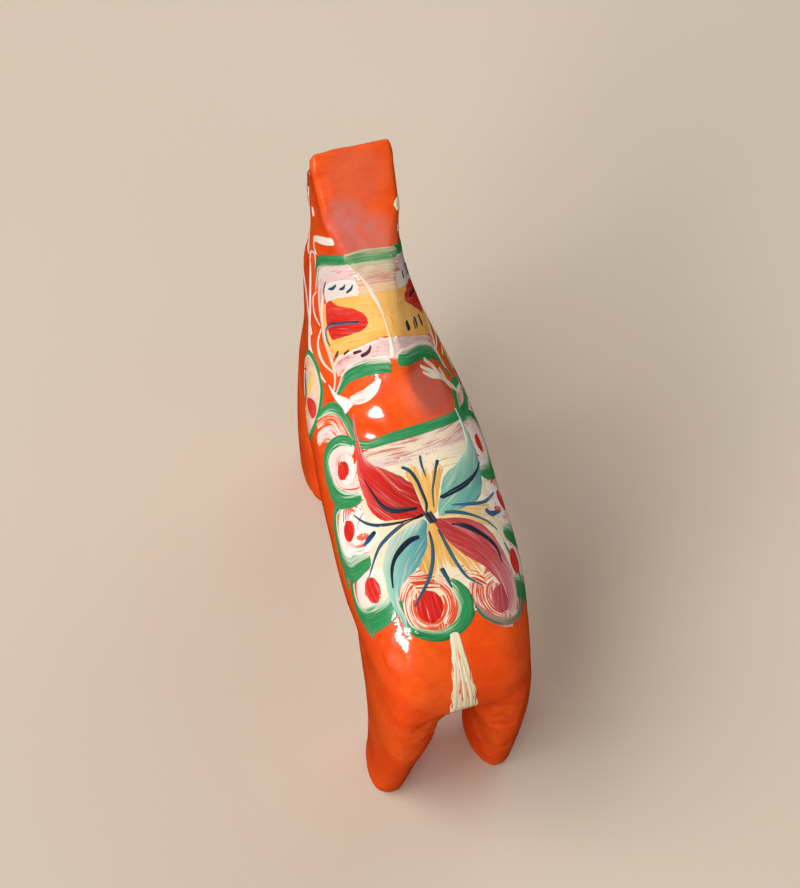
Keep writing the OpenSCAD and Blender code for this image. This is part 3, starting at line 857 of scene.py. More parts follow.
# the green line in front of them, then the green round each, its height over the coat and
# the tick it ends in
GREEN_FRONT = [
    (3, 8.1, 41.4, 0.25), (2.8, 7.3, 43.2, 0.6), (2.2, 6.5, 44.6, 0.75),
    (0.6, 5.8, 45.7, 0.7), (-1.3, 5.4, 46.2, 0.6), (-3.4, 5.2, 46.5, 0.5),
]
GREEN_RINGS = [
    ([(-3.6, 5.4, 46.2, 0.5), (-2.3, 6.4, 45, 0.65), (-1.8, 7.6, 43.3, 0.75),
      (-2.3, 8.3, 42.1, 0.8), (-3.4, 8.6, 41.7, 0.8), (-5.1, 8.7, 41.8, 0.85),
      (-7.1, 8.6, 42.4, 1), (-8.7, 8, 43.5, 1.1), (-9.6, 7.1, 44.8, 0.95),
      (-10.1, 6.2, 45.7, 0.6)], 0.06, None),
    ([(-9.2, 8.3, 43, 0.6), (-9.1, 8.8, 41.9, 0.65), (-10.1, 9.2, 41.1, 0.7),
      (-11.6, 9.4, 40.8, 0.75), (-13.5, 9.5, 40.7, 0.9), (-15.3, 9.4, 41, 1.25),
      (-16.4, 9, 42, 1.5), (-16.9, 8.1, 43.6, 1.35), (-17.2, 6.9, 45.2, 0.8)],
     0.062, [(-15.6, 9.6, 40.2, 0.9), (-17.4, 9.6, 39.3, 0.2)]),
    ([(-17.5, 9.1, 41.6, 0.6), (-18, 9.4, 40.8, 0.65), (-19.1, 9.4, 40.3, 0.75),
      (-20.7, 9.1, 40.3, 1), (-22.2, 8.6, 41.3, 1.45), (-22.8, 7.7, 42.9, 1.45),
      (-22.9, 6.5, 44.4, 1.25), (-22.3, 5.5, 45.5, 0.7)],
     0.064, [(-22.2, 9, 40.6, 1), (-24.2, 8.6, 40.6, 0.2)]),
]
RED_DOTS = [
    ((-5.7, 7.2, 44.5), 1.15, 1, 0.05), ((-12.6, 8.2, 43.6), 1.25, 1.1, 0.05),
    ((-20.2, 7.6, 44.1), 1.5, 1.25, 0.08),
]
# The two over the rump: centre, the rings' radii with their starts and stops in degrees, the
# paints, the dryness and what shows through.
RUMP_SCALLOPS = [
    ((-24, 2.3), [(1.75, 20, 340), (2.35, -150, 190), (2.9, -10, 330), (3.4, -70, 120)],
     (CREAM, "#f1e3d0"), [0.45, 0.6, 0.5, 0.65, 0.5], "#dc5430"),
    ((-24.4, -5.3), [(1.6, 10, 330), (2.2, -160, 170), (2.75, -60, 200), (3.3, -40, 110)],
     ("#ecd8cc", "#e6cbb8"), [0.45, 0.6, 0.5, 0.6, 0.5], "#c65a44"),
]


def arc(x, y, radius, start, stop, half):
    """Part of a ring seen from above, laid on the back."""
    return on_back([(x + radius * math.cos(a), y + 0.92 * radius * math.sin(a), half)
                    for a in np.radians(np.linspace(start, stop, 9))])


def lower_right(rows):
    """Mirrored rows, a little further down the right flank."""
    return [(x, y - 0.35, z - 1.2, w) for x, y, z, w in mirrored(rows)]


def paint_saddle():
    ground = Piece("saddle_ground", "paint_cream")
    border = Piece("saddle_border", "paint_green")
    dots = Piece("scallop_dots", "paint_red")
    # cream pulled across the back, from flank to flank
    lay(ground, [
        ([(-8.6, 6.6, 45.2, 1.1), (-6.4, 5, 46.5, 1.2), (-6.5, 3, 47.3, 1.3),
          (-6.7, 0.5, 47.5, 1.4), (-6.5, -2.2, 47.6, 1.4), (-5.6, -5, 46.9, 1.3),
          (-3.6, -7.4, 45, 1.2), (-2.2, -8.6, 43, 1)],
         ("#e2cfc2", CREAM, PINK_WHITE), dict(blend=(0.5, -0.1, 0.4), level=0.03,
         dry=[0.15, 0.34, 0.38, 0.36, 0.34], under="#c38575")),
        ([(-7.6, 1.5, 47.3, 0.6), (-7.7, -1.5, 47.4, 0.8), (-7.5, -4, 46.9, 0.9),
          (-6.9, -6.4, 45.6, 0.9), (-6, -8, 43.6, 0.7)],
         ("#e8dac0",), dict(level=0.031, dry=0.2, under="#cf9a84")),
    ], step=0.35)
    for k, (x, shade) in enumerate(((-9, "#ebdfc0"), (-11.6, CREAM), (-14.2, "#efe6d3"),
                                    (-16.8, CREAM), (-19.4, "#ece0c8"), (-22, CREAM))):
        rows = [(x - 0.6, 7.3, 1.5), (x, 5, 1.6), (x - 0.2, 2, 1.6), (x - 0.2, -2, 1.6),
                (x + 0.2, -5, 1.6), (x - 0.2, -7.3, 1.5), (x - 0.1, -8.3, 1.4)]
        ground.stroke(on_back(rows), shade, dry=0.05 if k else 0.22, under="#cf8a72", level=0.032
            + 0.004 * k, step=0.4)

    # the scallops on each flank: pink-white loops inside green ones
    def flank(put, side):
        put = put if side > 0 else lower_right
        ground.stroke(put([(2.2, 8.3, 41.2, 0.5), (2, 7.3, 43.2, 0.8), (1, 6.5, 44.6, 0.9),
            (-0.8, 6.1, 45.3, 0.9), (-2.6, 6, 45.6, 0.7)]), PINK_WHITE, "#f0b79c", WHITE,
            blend=(0.5, -0.5, 0.3), dry=0.42, under="#ee5b22", level=0.034)
        ground.stroke(put([(0.6, 8.6, 40.6, 0.7), (0.3, 8, 42.4, 0.9), (-0.6, 7.3, 43.7, 1),
            (-2, 7, 44.4, 0.8)]), PINK_WHITE, WHITE, dry=0.3, under="#ee6a35", level=0.037)
        for ring, paints, dry, filling, shade, filling_dry in SCALLOPS:
            ground.stroke(put(ring), *paints, blend=(0.4, -0.6, 0.3), dry=dry, under="#e8552c",
                level=0.04)
            ground.stroke(put(filling), shade, dry=filling_dry, under="#ef6a3c", level=0.044)
        # green, paler where it meets the inside
        pale = "#c3d2bd"
        to_right = (GREEN, GREEN, pale), (2, -0.6, 0.36)
        to_left = (pale, GREEN, GREEN), (0.6, -2, 0.36)
        front, ring = (to_right, to_left) if side > 0 else (to_left, to_right)
        border.stroke(put(GREEN_FRONT), *front[0], blend=front[1], level=0.06, streak=0.7)
        for rows, level, tick in GREEN_RINGS:
            border.stroke(put(rows), *ring[0], blend=ring[1], level=level, streak=0.7)
            if tick:
                border.stroke(put(tick), GREEN, level=level + 0.004, ragged=0.1)
        for where, reach, half, dry in RED_DOTS:
            dots.dab(put([(*where, 1)])[0][:3], reach, half, RED, level=0.075, under=PINK_WHITE,
                dry=dry)
        for k in range(4):
            ground.stroke(put([(-10.3 - 0.25 * k, 6.1 + 0.35 * k, 45.9 - 0.35 * k, 0.12),
                (-10.2 + 0.1 * k, 7.0 + 0.3 * k, 45.0 - 0.45 * k, 0.16),
                (-10.9 - 0.1 * k, 7.7 + 0.25 * k, 44.2 - 0.4 * k, 0.1)]), "#dd4a2c", level=0.05,
                step=0.25, dry=0.2, under=PINK_WHITE)
        ground.stroke(put([(-13.9, 7.6, 44.3, 0.15), (-14.3, 7, 44.9, 0.5),
            (-14.5, 6.4, 45.4, 0.2)]), "#e8684a", level=0.05, dry=0.35, under=WHITE)

    both_sides(flank)
    # two scallops over the rump, loosely ringed
    ground.dab((-24.1, 2.3, 45.5), 2.9, 2.6, "#efcdb4", level=0.046, dry=0.5, under="#dd5a30")
    ground.dab((-24.5, -5.3, 44.5), 2.8, 2.4, "#e9c6b8", level=0.046, dry=0.45, under="#c65a44")
    for centre, rings, paints, dry, under in RUMP_SCALLOPS:
        for k, ring in enumerate(rings):
            ground.stroke(arc(*centre, *ring, 0.36), *paints, dry=dry, under=under, level=0.05
                + 0.004 * k, step=0.25, streak=1.2)
    for k in range(5):
        lay(ground, [
            (on_back([(-20.3 - 0.5 * k, -1.7 - 0.15 * k, 0.2),
                      (-20.5 - 0.55 * k, -2.9 - 0.1 * k, 0.3),
                      (-21.1 - 0.55 * k, -4.1, 0.2)]), (CREAM,), dict(under="#c8482c")),
            (on_back([(-20.5 - 0.35 * k, 4.3 - 0.2 * k, 0.16),
                      (-20.9 - 0.3 * k, 3.0 - 0.2 * k, 0.26),
                      (-21.0 - 0.35 * k, 1.6 - 0.2 * k, 0.16)]), (CREAM,), dict(under="#d4401f")),
        ], dry=[0.4, 0.6, 0.5], level=0.07 + 0.003 * k, step=0.25)
    border.stroke(on_back([(-22.6, 5.2, 0.35), (-24.2, 5.3, 0.35), (-25.6, 4.9, 0.45),
        (-26.6, 3.4, 0.6), (-27, 1.6, 0.65), (-26.5, -0.2, 0.8), (-25.3, -1.3, 1),
        (-24, -1.4, 1), (-22.8, -0.9, 0.7), (-22, -0.2, 0.4)]), "#b9c7a8", GREEN, "#23703f",
        blend=(0.6, -0.6, 0.35), level=0.07, under=CREAM,
        dry=[0.3, 0.2, 0.05, 0.05, 0.05, 0.1, 0.3], streak=0.9)
    border.stroke(on_back([(-24.9, -2.4, 0.3), (-26, -3.2, 0.45), (-26.8, -4.6, 0.5),
        (-26.7, -6.2, 0.45), (-25.4, -7.5, 0.4)]) + [(-24, -8.2, 41.8, 0.4),
        (-22.2, -8.5, 41.9, 0.35), (-20.6, -8.3, 42.8, 0.35), (-19.6, -7.7, 44, 0.3),
        (-18.4, -7.4, 44.6, 0.2)], "#8fa592", "#4a7f66", "#36705a", blend=(0.4, -0.5, 0.3),
        level=0.066, dry=[0.5, 0.45, 0.4, 0.3, 0.1], under="#a8786a", streak=1.2)
    dots.dab((-24.1, 2.4, 45.5), 1.75, 1.5, "#cf1f16", level=0.085, under="#f0dcc4", dry=0.05)
    dots.dab((-24.7, -5.4, 44.5), 1.5, 1.25, "#b4474f", level=0.085, under="#e5b9ae", dry=0.06)
    # the front border, from the left flank over the withers to the right
    border.stroke([(-3.3, 5.4, 46.2, 0.45), (-4.2, 4.7, 46.7, 0.5), (-4.7, 3.4, 47.3, 0.5),
        (-4.75, 1.6, 47.9, 0.55), (-4.65, -1, 48.1, 0.6), (-4.3, -3.5, 47.8, 0.6),
        (-3.4, -5.8, 46.7, 0.6), (-1.6, -7.7, 44.6, 0.55), (0.2, -8.5, 43, 0.5),
        (2.2, -8.6, 42.4, 0.3)], "#4d8a5c", GREEN, "#2f8a52", blend=(0.7, -0.7, 0.25), level=0.07,
        streak=0.8, under="#a7b79a", dry=[0.25, 0.1, 0, 0, 0, 0.05, 0.1])


def paint_flower():
    star = Piece("saddle_star", "paint_ochre")
    red = Piece("red_petals", "paint_red")
    teal = Piece("teal_petals", "paint_teal")
    veins = Piece("petal_veins", "paint_dark_blue")
    blue = Piece("blue_flourishes", "paint_dark_blue")
    heart = Piece("flower_center", "paint_dark_blue")
    # ochre arms between the petals
    for rows, paints, level, dry, ragged in (
        ([(-14.6, -0.4, 0.5), (-13, -0.6, 0.9), (-11, -0.9, 1.4), (-9.2, -1, 2.2),
          (-8, -1.2, 2.6)], (STAR, "#e9b65e", "#dba55a"), 0.07, [0, 0, 0.05, 0.25, 0.75], 0.8),
        ([(-15.4, -0.2, 0.7), (-17.2, -0.1, 1.7), (-19, -0.1, 2.6), (-20.6, -0.2, 3.3),
          (-21.6, -0.3, 3.6)], ("#dda452", STAR, "#d79c4f"), 0.07, [0, 0, 0.05, 0.2, 0.7], 0.8),
        ([(-14.6, 0.4, 0.5), (-14.8, 2.2, 0.8), (-14.9, 4.2, 1.1), (-15, 5.6, 1.3)],
         ("#edc063", "#edd39a"), 0.072, [0, 0.2, 0.5, 0.9], 0.5),
        ([(-14.8, -1, 0.5), (-14.9, -3, 1.1), (-15.1, -5.2, 1.5), (-15.4, -7.2, 1.6)],
         ("#deb062", "#dcb877"), 0.072, [0, 0.05, 0.25, 0.7], 0.5),
        ([(-16.4, -1, 0.4), (-18.4, -1.8, 0.9), (-20.6, -3, 1.3), (-22.2, -3.8, 1.2)],
         (STAR, "#dfa95c"), 0.074, [0, 0.1, 0.3, 0.8], 0.5),
    ):
        star.stroke(on_back(rows), *paints, level=level, under=CREAM, dry=dry, ragged=ragged)
    # petals, each one pull of a two-coloured brush
    red.stroke(on_back([(-0.4, 4.7, 0.06), (-2, 4.95, 0.14), (-3.8, 5.05, 0.24),
        (-5.4, 5.2, 0.45), (-7.2, 5.1, 1.05), (-8.95, 4.45, 1.9), (-10.6, 3.65, 2.6),
        (-12, 2.75, 2.6), (-13.2, 1.6, 1.65), (-14, 0.6, 0.5), (-14.2, 0.2, 0.1)]),
        ["#e7a9ab", "#e9b3ae", "#cf5a50", DEEP_RED, "#b3241d"],
        ["#cf7f8c", "#d6464a", "#cc2d24", DEEP_RED, "#b3241d"],
        ["#b9848f", "#e06d70", "#dc5a52", "#cf3329", DEEP_RED], blend=(0.62, -0.72, 0.22),
        level=0.095, under=CREAM, dry=[0.3, 0.1, 0.02, 0, 0], streak=0.9)
    red.stroke(on_back([(-15.2, -0.5, 0.2), (-16, -1.3, 0.95), (-17, -2.5, 1.85),
        (-18.2, -3.9, 2.3), (-19.7, -5.2, 2.05), (-21.2, -6.1, 1.6), (-22.9, -6.7, 1.25),
        (-24.6, -6.7, 1), (-26, -6.1, 0.4)]),
        ["#a83a3c", "#b5444a", "#c9666c", "#e0a4a8", "#f0d4cf"],
        ["#a5332f", "#b43a38", "#bb4747", "#cf7880", "#dc979d"],
        ["#b0393a", "#b23a3b", "#b64044", "#bf5a62", "#b9525c"], blend=(0.5, -0.6, 0.3),
        level=0.095, under="#e3b7b0", dry=[0.02, 0, 0, 0.05, 0.15, 0.35], streak=1.1)
    teal.stroke(on_back([(-2.2, -6.4, 0.06), (-4.2, -6.8, 0.25), (-6.2, -7, 0.6),
        (-8.3, -6.65, 1.2), (-10.25, -5.8, 1.8), (-11.8, -4.65, 2.3), (-13.05, -3.4, 1.9),
        (-14, -2.1, 1), (-14.9, -1.3, 0.25)]), ["#b9cfc8", "#7fb3ab", TEAL, TEAL, "#5b9c8c"],
        [PALE_TEAL, "#8fbdb0", "#6aa79a", "#73ad9f", "#84b69d"],
        ["#dfe6da", "#c8d8c4", "#9cc3ae", "#77ab98", "#6aa48f"], blend=(0.35, -0.4, 0.5),
        level=0.096, under="#c9c3ab", dry=[0.4, 0.28, 0.18, 0.14, 0.1, 0.05], streak=1.7)
    teal.stroke(on_back([(-15, 0.45, 0.3), (-15.9, 1.5, 1.2), (-17, 2.5, 1.95),
        (-18.3, 3.8, 2.15), (-19.8, 4.9, 1.6), (-21.3, 5.6, 0.8), (-22.9, 5.7, 0.45),
        (-24.6, 5.3, 0.32), (-26.2, 5.4, 0.12)]),
        ["#4b8f95", "#4e9598", "#6aa9a4", "#9ccabd", "#8cc0b4"],
        ["#5d9ca0", "#6caca4", "#86bbaa", "#8fc1b2", "#5f9f98"],
        ["#d2ded0", "#b8d3c4", "#a9cdb9", "#8cc3ae", "#57988f"], blend=(0.3, -0.55, 0.45),
        level=0.097, under="#cdbfae", dry=[0.05, 0.1, 0.14, 0.16, 0.2, 0.25], streak=1.7)
    # one dark vein down each petal
    for rows, paint, under in (
        ([(-8.2, 5.45, 0.05), (-10.1, 5, 0.12), (-11.8, 4.5, 0.22), (-12.8, 3.7, 0.36),
          (-13.2, 2.5, 0.35), (-13.4, 0.9, 0.18)], NAVY, "#8c2a28"),
        ([(-8.6, -7.45, 0.06), (-10.4, -6.35, 0.2), (-11.7, -4.85, 0.34), (-12.4, -3.3, 0.36),
          (-12.8, -1.8, 0.25)], ["#2b3c55", NAVY, "#3a2c3a", "#4a2f38"], TEAL),
        ([(-16.7, 1.5, 0.24), (-16.9, 2.7, 0.38), (-17.6, 3.9, 0.36), (-18.5, 4.8, 0.26),
          (-19.6, 5.3, 0.2), (-21.3, 5.6, 0.1)],
         ["#5a3a42", "#2c2a38", NAVY, "#1f4157", "#2a5d72"], TEAL),
        ([(-16.1, -2.1, 0.1), (-16.7, -3.6, 0.32), (-17.6, -4.8, 0.31), (-18.5, -5.8, 0.26),
          (-19.7, -6.35, 0.18), (-21, -6.4, 0.08)],
         ["#2a2f3a", "#2b3442", "#3c4455", "#6a5566"], "#a8403f"),
    ):
        veins.stroke(on_back(rows), paint, "#1d2838", level=0.125, under=under,
            dry=[0.3, 0.02, 0, 0, 0.1], streak=0.5, step=0.2)
    # blue flourishes between them
    line = dict(level=0.115, dry=[0.1, 0, 0, 0.15], streak=0.5, step=0.2, under=STAR)
    for rows, shade in (
        ([(-8.2, 1.35, 0.14), (-8.8, 0.6, 0.22), (-10.1, 0.1, 0.2), (-11.7, -0.1, 0.18),
          (-13.1, -0.2, 0.16), (-14.1, 0.1, 0.1)], ["#2a4a62", "#24394e"]),
        ([(-7.3, -1, 0.12), (-8.5, -0.9, 0.14), (-10.1, -1, 0.06)], ["#2f5570"]),
        ([(-8.3, -2.75, 0.22), (-9.2, -2.3, 0.16), (-10.4, -1.8, 0.14), (-11.8, -1.25, 0.12),
          (-13.8, -0.85, 0.06)], ["#2b4a58", "#3a5f66"]),
        ([(-13.9, -2.6, 0.08), (-14.15, -4.4, 0.22), (-13.8, -6.5, 0.2), (-12.2, -8.1, 0.1)],
         ["#3d6f8c", "#2f5f80", "#3a6f92"]),
        ([(-14.6, -1.7, 0.2), (-15, -3.4, 0.24), (-15.6, -4.9, 0.16), (-16.3, -6.2, 0.12),
          (-17.2, -7.1, 0.06)], ["#33586a", "#2f5f78", "#3c6c82"]),
        ([(-11.4, 7.4, 0.08), (-13, 6.5, 0.16), (-14, 5.2, 0.2), (-14.5, 3.4, 0.16),
          (-14.55, 1.6, 0.16), (-14.3, 0.4, 0.22)], ["#2f6685", "#173246", "#101a24"]),
        ([(-14.5, 1.2, 0.1), (-14.8, 2.7, 0.18), (-15.5, 4.4, 0.24), (-16.3, 5.8, 0.2),
          (-17.6, 6.8, 0.12), (-19, 7.7, 0.06)], ["#1c3a52", "#235072", "#2f6288"]),
        ([(-16.3, 0.4, 0.1), (-18.2, 0.5, 0.2), (-20.2, 1.1, 0.22), (-21.7, 2, 0.2),
          (-23, 3.2, 0.15), (-23.8, 4, 0.06)], ["#24485a", "#2f5f70", "#2c566c"]),
        ([(-16.3, -0.6, 0.12), (-18.3, -1, 0.2), (-20.4, -1.5, 0.2), (-22.1, -2.3, 0.14),
          (-23.2, -3.7, 0.06)], ["#2b4f5f", "#33616f", "#2c556a"]),
        ([(-20.6, 0.2, 0.3), (-21.7, -0.1, 0.24), (-22.9, -0.4, 0.08)], ["#1f4f5c", "#2a6468"]),
        ([(-14.7, -6.35, 0.3), (-15.2, -6.9, 0.34), (-14.5, -8.1, 0.16)], ["#28568a", "#2e5f90"]),
        ([(-15.4, 7.3, 0.12), (-14.9, 6.6, 0.34), (-14.4, 5.8, 0.22)], ["#2a5a8c", "#152a46"]),
    ):
        blue.stroke(on_back(rows), shade, **line)
    for y, w in ((0.25, 0.13), (-0.05, 0.16), (-0.36, 0.15)):
        heart.stroke(on_back([(-14, y + 0.1, w), (-14.8, y - 0.1, w + 0.03),
            (-15.6, y - 0.3, w)]), "#10161f", "#232b36", level=0.15, step=0.2, dry=0.1,
            under="#4a4038", ragged=0.3)


TICK = dict(step=0.2, ragged=0.05)


def paint_mane():
    ground = Piece("mane_ground", "paint_pink_white")
    band = Piece("mane_band", "paint_ochre")
    top = Piece("mane_top_border", "paint_green")
    bottom = Piece("mane_bottom_border", "paint_green")
    tulips = Piece("mane_tulips", "paint_red")
    blue = Piece("mane_blue_ticks", "paint_dark_blue")
    plum = Piece("mane_purple_ticks", "paint_plum")
    crest = Piece("crest_line", "paint_white")

    def side_of(put, side):
        # pink-white pulled down from the crest and round the panel's front corner
        ground.stroke(put([(9.2, -0.8, 60.4, 1.1), (9.6, 2.2, 60, 1.3), (11.4, 3.4, 57.2, 1.4),
            (13.4, 4.6, 53.6, 1.4), (13.9, 5.1, 51, 1.2), (12.4, 5.3, 49.2, 1),
            (9.6, 5.4, 48.2, 0.8), (6.6, 5.4, 47.4, 0.6)]), PINK_WHITE, "#e9cbcc", WHITE,
            blend=(0.5, -0.5, 0.35), level=0.03, dry=[0.3, 0.22, 0.2, 0.22, 0.32, 0.4],
            under="#dd6a62", step=0.35)
        ground.stroke(put([(7.8, -0.6, 58.9, 0.9), (8.4, 1.9, 58.4, 1), (9.9, 3.1, 56.4, 1.1),
            (11.6, 4.1, 53.6, 1.1), (12.4, 4.8, 51.2, 0.9)]), "#e9dcda", WHITE, "#efeae8",
            level=0.036, dry=[0.2, 0.02, 0, 0.05], under="#efb9a6", step=0.35)
        ground.stroke(put([(3.1, -1.6, 54, 1.1), (3.2, 1.6, 53, 1.2), (4.2, 3.4, 50.6, 1.2),
            (5.2, 4.6, 48.6, 1.1), (5.4, 5.3, 47, 0.8)]), "#f0d3cf", PINK_WHITE, "#f0dfd9",
            level=0.034, dry=[0.25, 0.2, 0.15, 0.3], under="#e0786c", step=0.35, rounded=0.3)
        top.stroke(put([(15.4, 5.2, 49.6, 0.15), (15.9, 5, 51.2, 0.4), (15.8, 4.7, 53, 0.55),
            (14.5, 4.3, 55.5, 0.7), (12.4, 3.6, 58.3, 0.75), (10.3, 2.4, 61.1, 0.7)]),
            *((GREEN, GREEN, "#d9d8c6") if side > 0 else ("#d9d8c6", GREEN, GREEN)),
            blend=(2, -0.6, 0.3) if side > 0 else (0.6, -2, 0.3), level=0.055, streak=0.6)
        bottom.stroke(put([(2.5, 6, 45.2, 0.12), (3.1, 5.6, 46.1, 0.4), (3.6, 4.8, 47.7, 0.7),
            (3.6, 3.9, 48.9, 0.9), (2.9, 2.4, 50.8, 1), (2.2, 1, 51.9, 1),
            (1.7, -0.15, 52.4, 0.95)] if side > 0 else [(2.6, 7.6, 44.5, 0.12),
            (3.4, 7.1, 45.6, 0.4), (4.3, 6.4, 47, 0.75), (4.2, 5.2, 49, 1),
            (3.1, 3.5, 51.4, 1.1), (2, 1.9, 52.7, 1), (1.9, 0.9, 53.2, 0.95)]),
            *(("#efd9d2", GREEN, GREEN) if side > 0 else (GREEN, GREEN, "#efd9d2")),
            blend=(0.5, -2, 0.3) if side > 0 else (2, -0.5, 0.3), level=0.058, streak=0.9,
            dry=[0.1, 0, 0, 0, 0.05], under="#8fb89b", rounded=0.45)
        band.stroke(put([(9.9, 5.3, 48.3, 2.7), (9.2, 4.7, 49.9, 3), (8.2, 3.9, 51.7, 3.1),
            (6.9, 2.6, 54.2, 2.9), (5.9, 1.2, 56, 2.6), (5.5, -1, 57, 2.5)]), "#f6b657",
            OCHRE, "#f4b052", blend=(0.6, -0.6, 0.4), level=0.055,
            dry=[0.06, 0.02, 0, 0, 0.05, 0.1], under="#f5dcb4", streak=0.5, rounded=0.2)
        tulips.stroke(put([(5.8, 1.5, 55.8, 0.5), (6.4, 2, 55.1, 1.15), (7.4, 3, 53.7, 1.6),
            (8.8, 3.9, 51.8, 2.05), (9.8, 4.6, 50.4, 2.4), (10.3, 5, 49.4, 2.5)] if side > 0
            else [(7.3, 2.9, 56.1, 0.5), (8.3, 3.6, 54.9, 1.2), (9.4, 4.4, 53, 1.8),
            (10.4, 5.3, 50.7, 2.1), (10.8, 5.8, 49.2, 2.1)]), "#cf2a20", RED, "#e0392c",
            blend=(0.5, -0.5, 0.4), level=0.085, under="#ec7a62", dry=[0, 0.05, 0.1, 0.08, 0.02],
            streak=1)

    both_sides(side_of)
    # streaks over the crest between the green and the ochre
    band.stroke([(6.9, 2.4, 57, 1.2), (6.3, 1, 57.8, 1.7), (6.1, -0.6, 57.9, 1.8),
        (6.4, -2.4, 57.2, 1.5)], "#f2bd74", "#f0b865", "#e9b670", dry=0.04, under="#eec894",
        streak=0.5, rounded=0.2, level=0.062)
    for x, shade, streaks in ((9.7, "#bdbb98", "#a3a27e"), (9, "#cfb99c", "#bd9a80"),
                              (8.3, "#dcbba4", "#cc9880"), (7.6, "#e6c19c", "#dcaa80")):
        ground.stroke([(x, 2.5, 50.9 + x, 0.5), (x - 0.1, 0.9, 51.4 + x, 0.55),
            (x - 0.2, -1, 51.4 + x, 0.55), (x - 0.1, -2.7, 50.9 + x, 0.5)], shade, level=0.066
            + 0.004 * (10 - x), dry=0.36, under=streaks)
    top.stroke([(10.5, 3, 60.8, 0.6), (10.3, 1.2, 61.3, 0.7), (10.2, -0.6, 61.3, 0.7),
        (10.2, -3.1, 60.9, 0.65)], "#b9b08e", "#5f9463", "#4b8d5c", level=0.075,
        blend=(0.35, -0.7, 0.5), dry=[0.05, 0.1, 0.05, 0], under="#b09a78", streak=0.8)
    # small strokes
    light_blue, dark_blue = ("#2d5b80", "#274a66"), (NAVY, "#27384e")
    for rows, paints, level, dry in (
        ([(13.1, 4.3, 53.4, 0.08), (13.1, 4.6, 52, 0.16), (12.6, 4.7, 51.1, 0.1)],
         light_blue, 0.07, 0.1),
        ([(11.1, 3.6, 55.5, 0.1), (11.5, 3.9, 54.3, 0.2), (12.2, 4.2, 53.2, 0.1)],
         light_blue, 0.07, 0.1),
        ([(9.8, 2.9, 57.3, 0.08), (9.9, 3.1, 56.5, 0.18), (10.4, 3.4, 55.6, 0.12)],
         light_blue, 0.07, 0.1),
        ([(8.9, 2.3, 58.4, 0.06), (8.9, 2.5, 57.6, 0.16), (9.3, 2.9, 56.4, 0.12)],
         light_blue, 0.07, 0.1),
        ([(9.6, -3.2, 58.1, 0.12), (9.1, -3.3, 57.1, 0.14)], dark_blue, 0.09, 0.05),
        ([(11.2, -3.9, 56.8, 0.14), (10.6, -4.2, 55.2, 0.16)], dark_blue, 0.09, 0.05),
        ([(12.2, -4.3, 55.4, 0.12), (11.7, -4.6, 53.7, 0.14)], dark_blue, 0.09, 0.05),
        ([(13, -4.6, 53.8, 0.1), (12.4, -4.8, 52.2, 0.12)], dark_blue, 0.09, 0.05),
    ):
        blue.stroke(rows, *paints, level=level, under=WHITE, dry=dry, **TICK)
    for rows, paints, dry in (
        ([(6.6, 4.5, 49.2, 0.12), (6.5, 5.1, 48.1, 0.18)], ("#5a4438",), 0.08),
        ([(5.5, 3.6, 50.7, 0.12), (5.7, 4.2, 49.7, 0.14)], ("#5e4238",), 0.08),
        ([(4.4, 2.5, 51.9, 0.14), (4.9, 3.3, 50.9, 0.18)], (PLUM,), 0.08),
        ([(4.1, 1.5, 53.2, 0.12), (3.8, 1.9, 52.4, 0.2), (4.1, 2.6, 51.3, 0.2)],
         ("#54273a",), 0.08),
        ([(5.2, -2.7, 54.8, 0.3), (4.5, -3, 53.8, 0.36)], (NAVY, "#1d2b3c"), 0.05),
        ([(6.2, -3.5, 53.6, 0.5), (5.3, -3.7, 52.6, 0.6)], (NAVY, "#1d2b3c"), 0.05),
        ([(7.2, -4.3, 52.2, 0.38), (6.3, -4.6, 51.1, 0.46)], (NAVY, "#1d2b3c"), 0.05),
    ):
        plum.stroke(rows, *paints, level=0.085, under=OCHRE, dry=dry, **TICK)
    # the stem line down each tulip
    blue.stroke([(6.3, 2.2, 54.8, 0.16), (7.8, 3.5, 52.7, 0.2), (9.2, 4.5, 50.6, 0.22),
        (9.8, 5.1, 49, 0.2), (9.1, 5.3, 48.3, 0.18), (7.8, 5.2, 48.4, 0.1)], "#5b7590",
        "#3a4a60", "#23303f", blend=(0.3, -0.3, 0.2), level=0.115, step=0.2)
    blue.stroke([(7.9, -3.6, 55.1, 0.18), (9.3, -4.3, 53.6, 0.22), (11, -5, 51.5, 0.2)],
        "#3a4450", "#2d3540", level=0.115, step=0.2)
    crest.stroke([(9.6, 1.9, 60.4, 0.08), (8.8, 1.4, 59.8, 0.13), (7.9, 0.9, 59.2, 0.2),
        (7.1, 0.5, 58.4, 0.22), (6.3, 0.1, 57.6, 0.16), (4.8, -0.3, 56.1, 0.14),
        (3.6, -0.5, 54.9, 0.18), (2.6, -0.5, 53.7, 0.26), (2, -0.4, 53, 0.2)],
        ["#f0b49c", "#f7e2d2", "#f6e6da", "#f3ddc8", "#f5eadf"], level=0.1, under=OCHRE,
        dry=[0.4, 0.1, 0.15, 0.3, 0.1, 0])


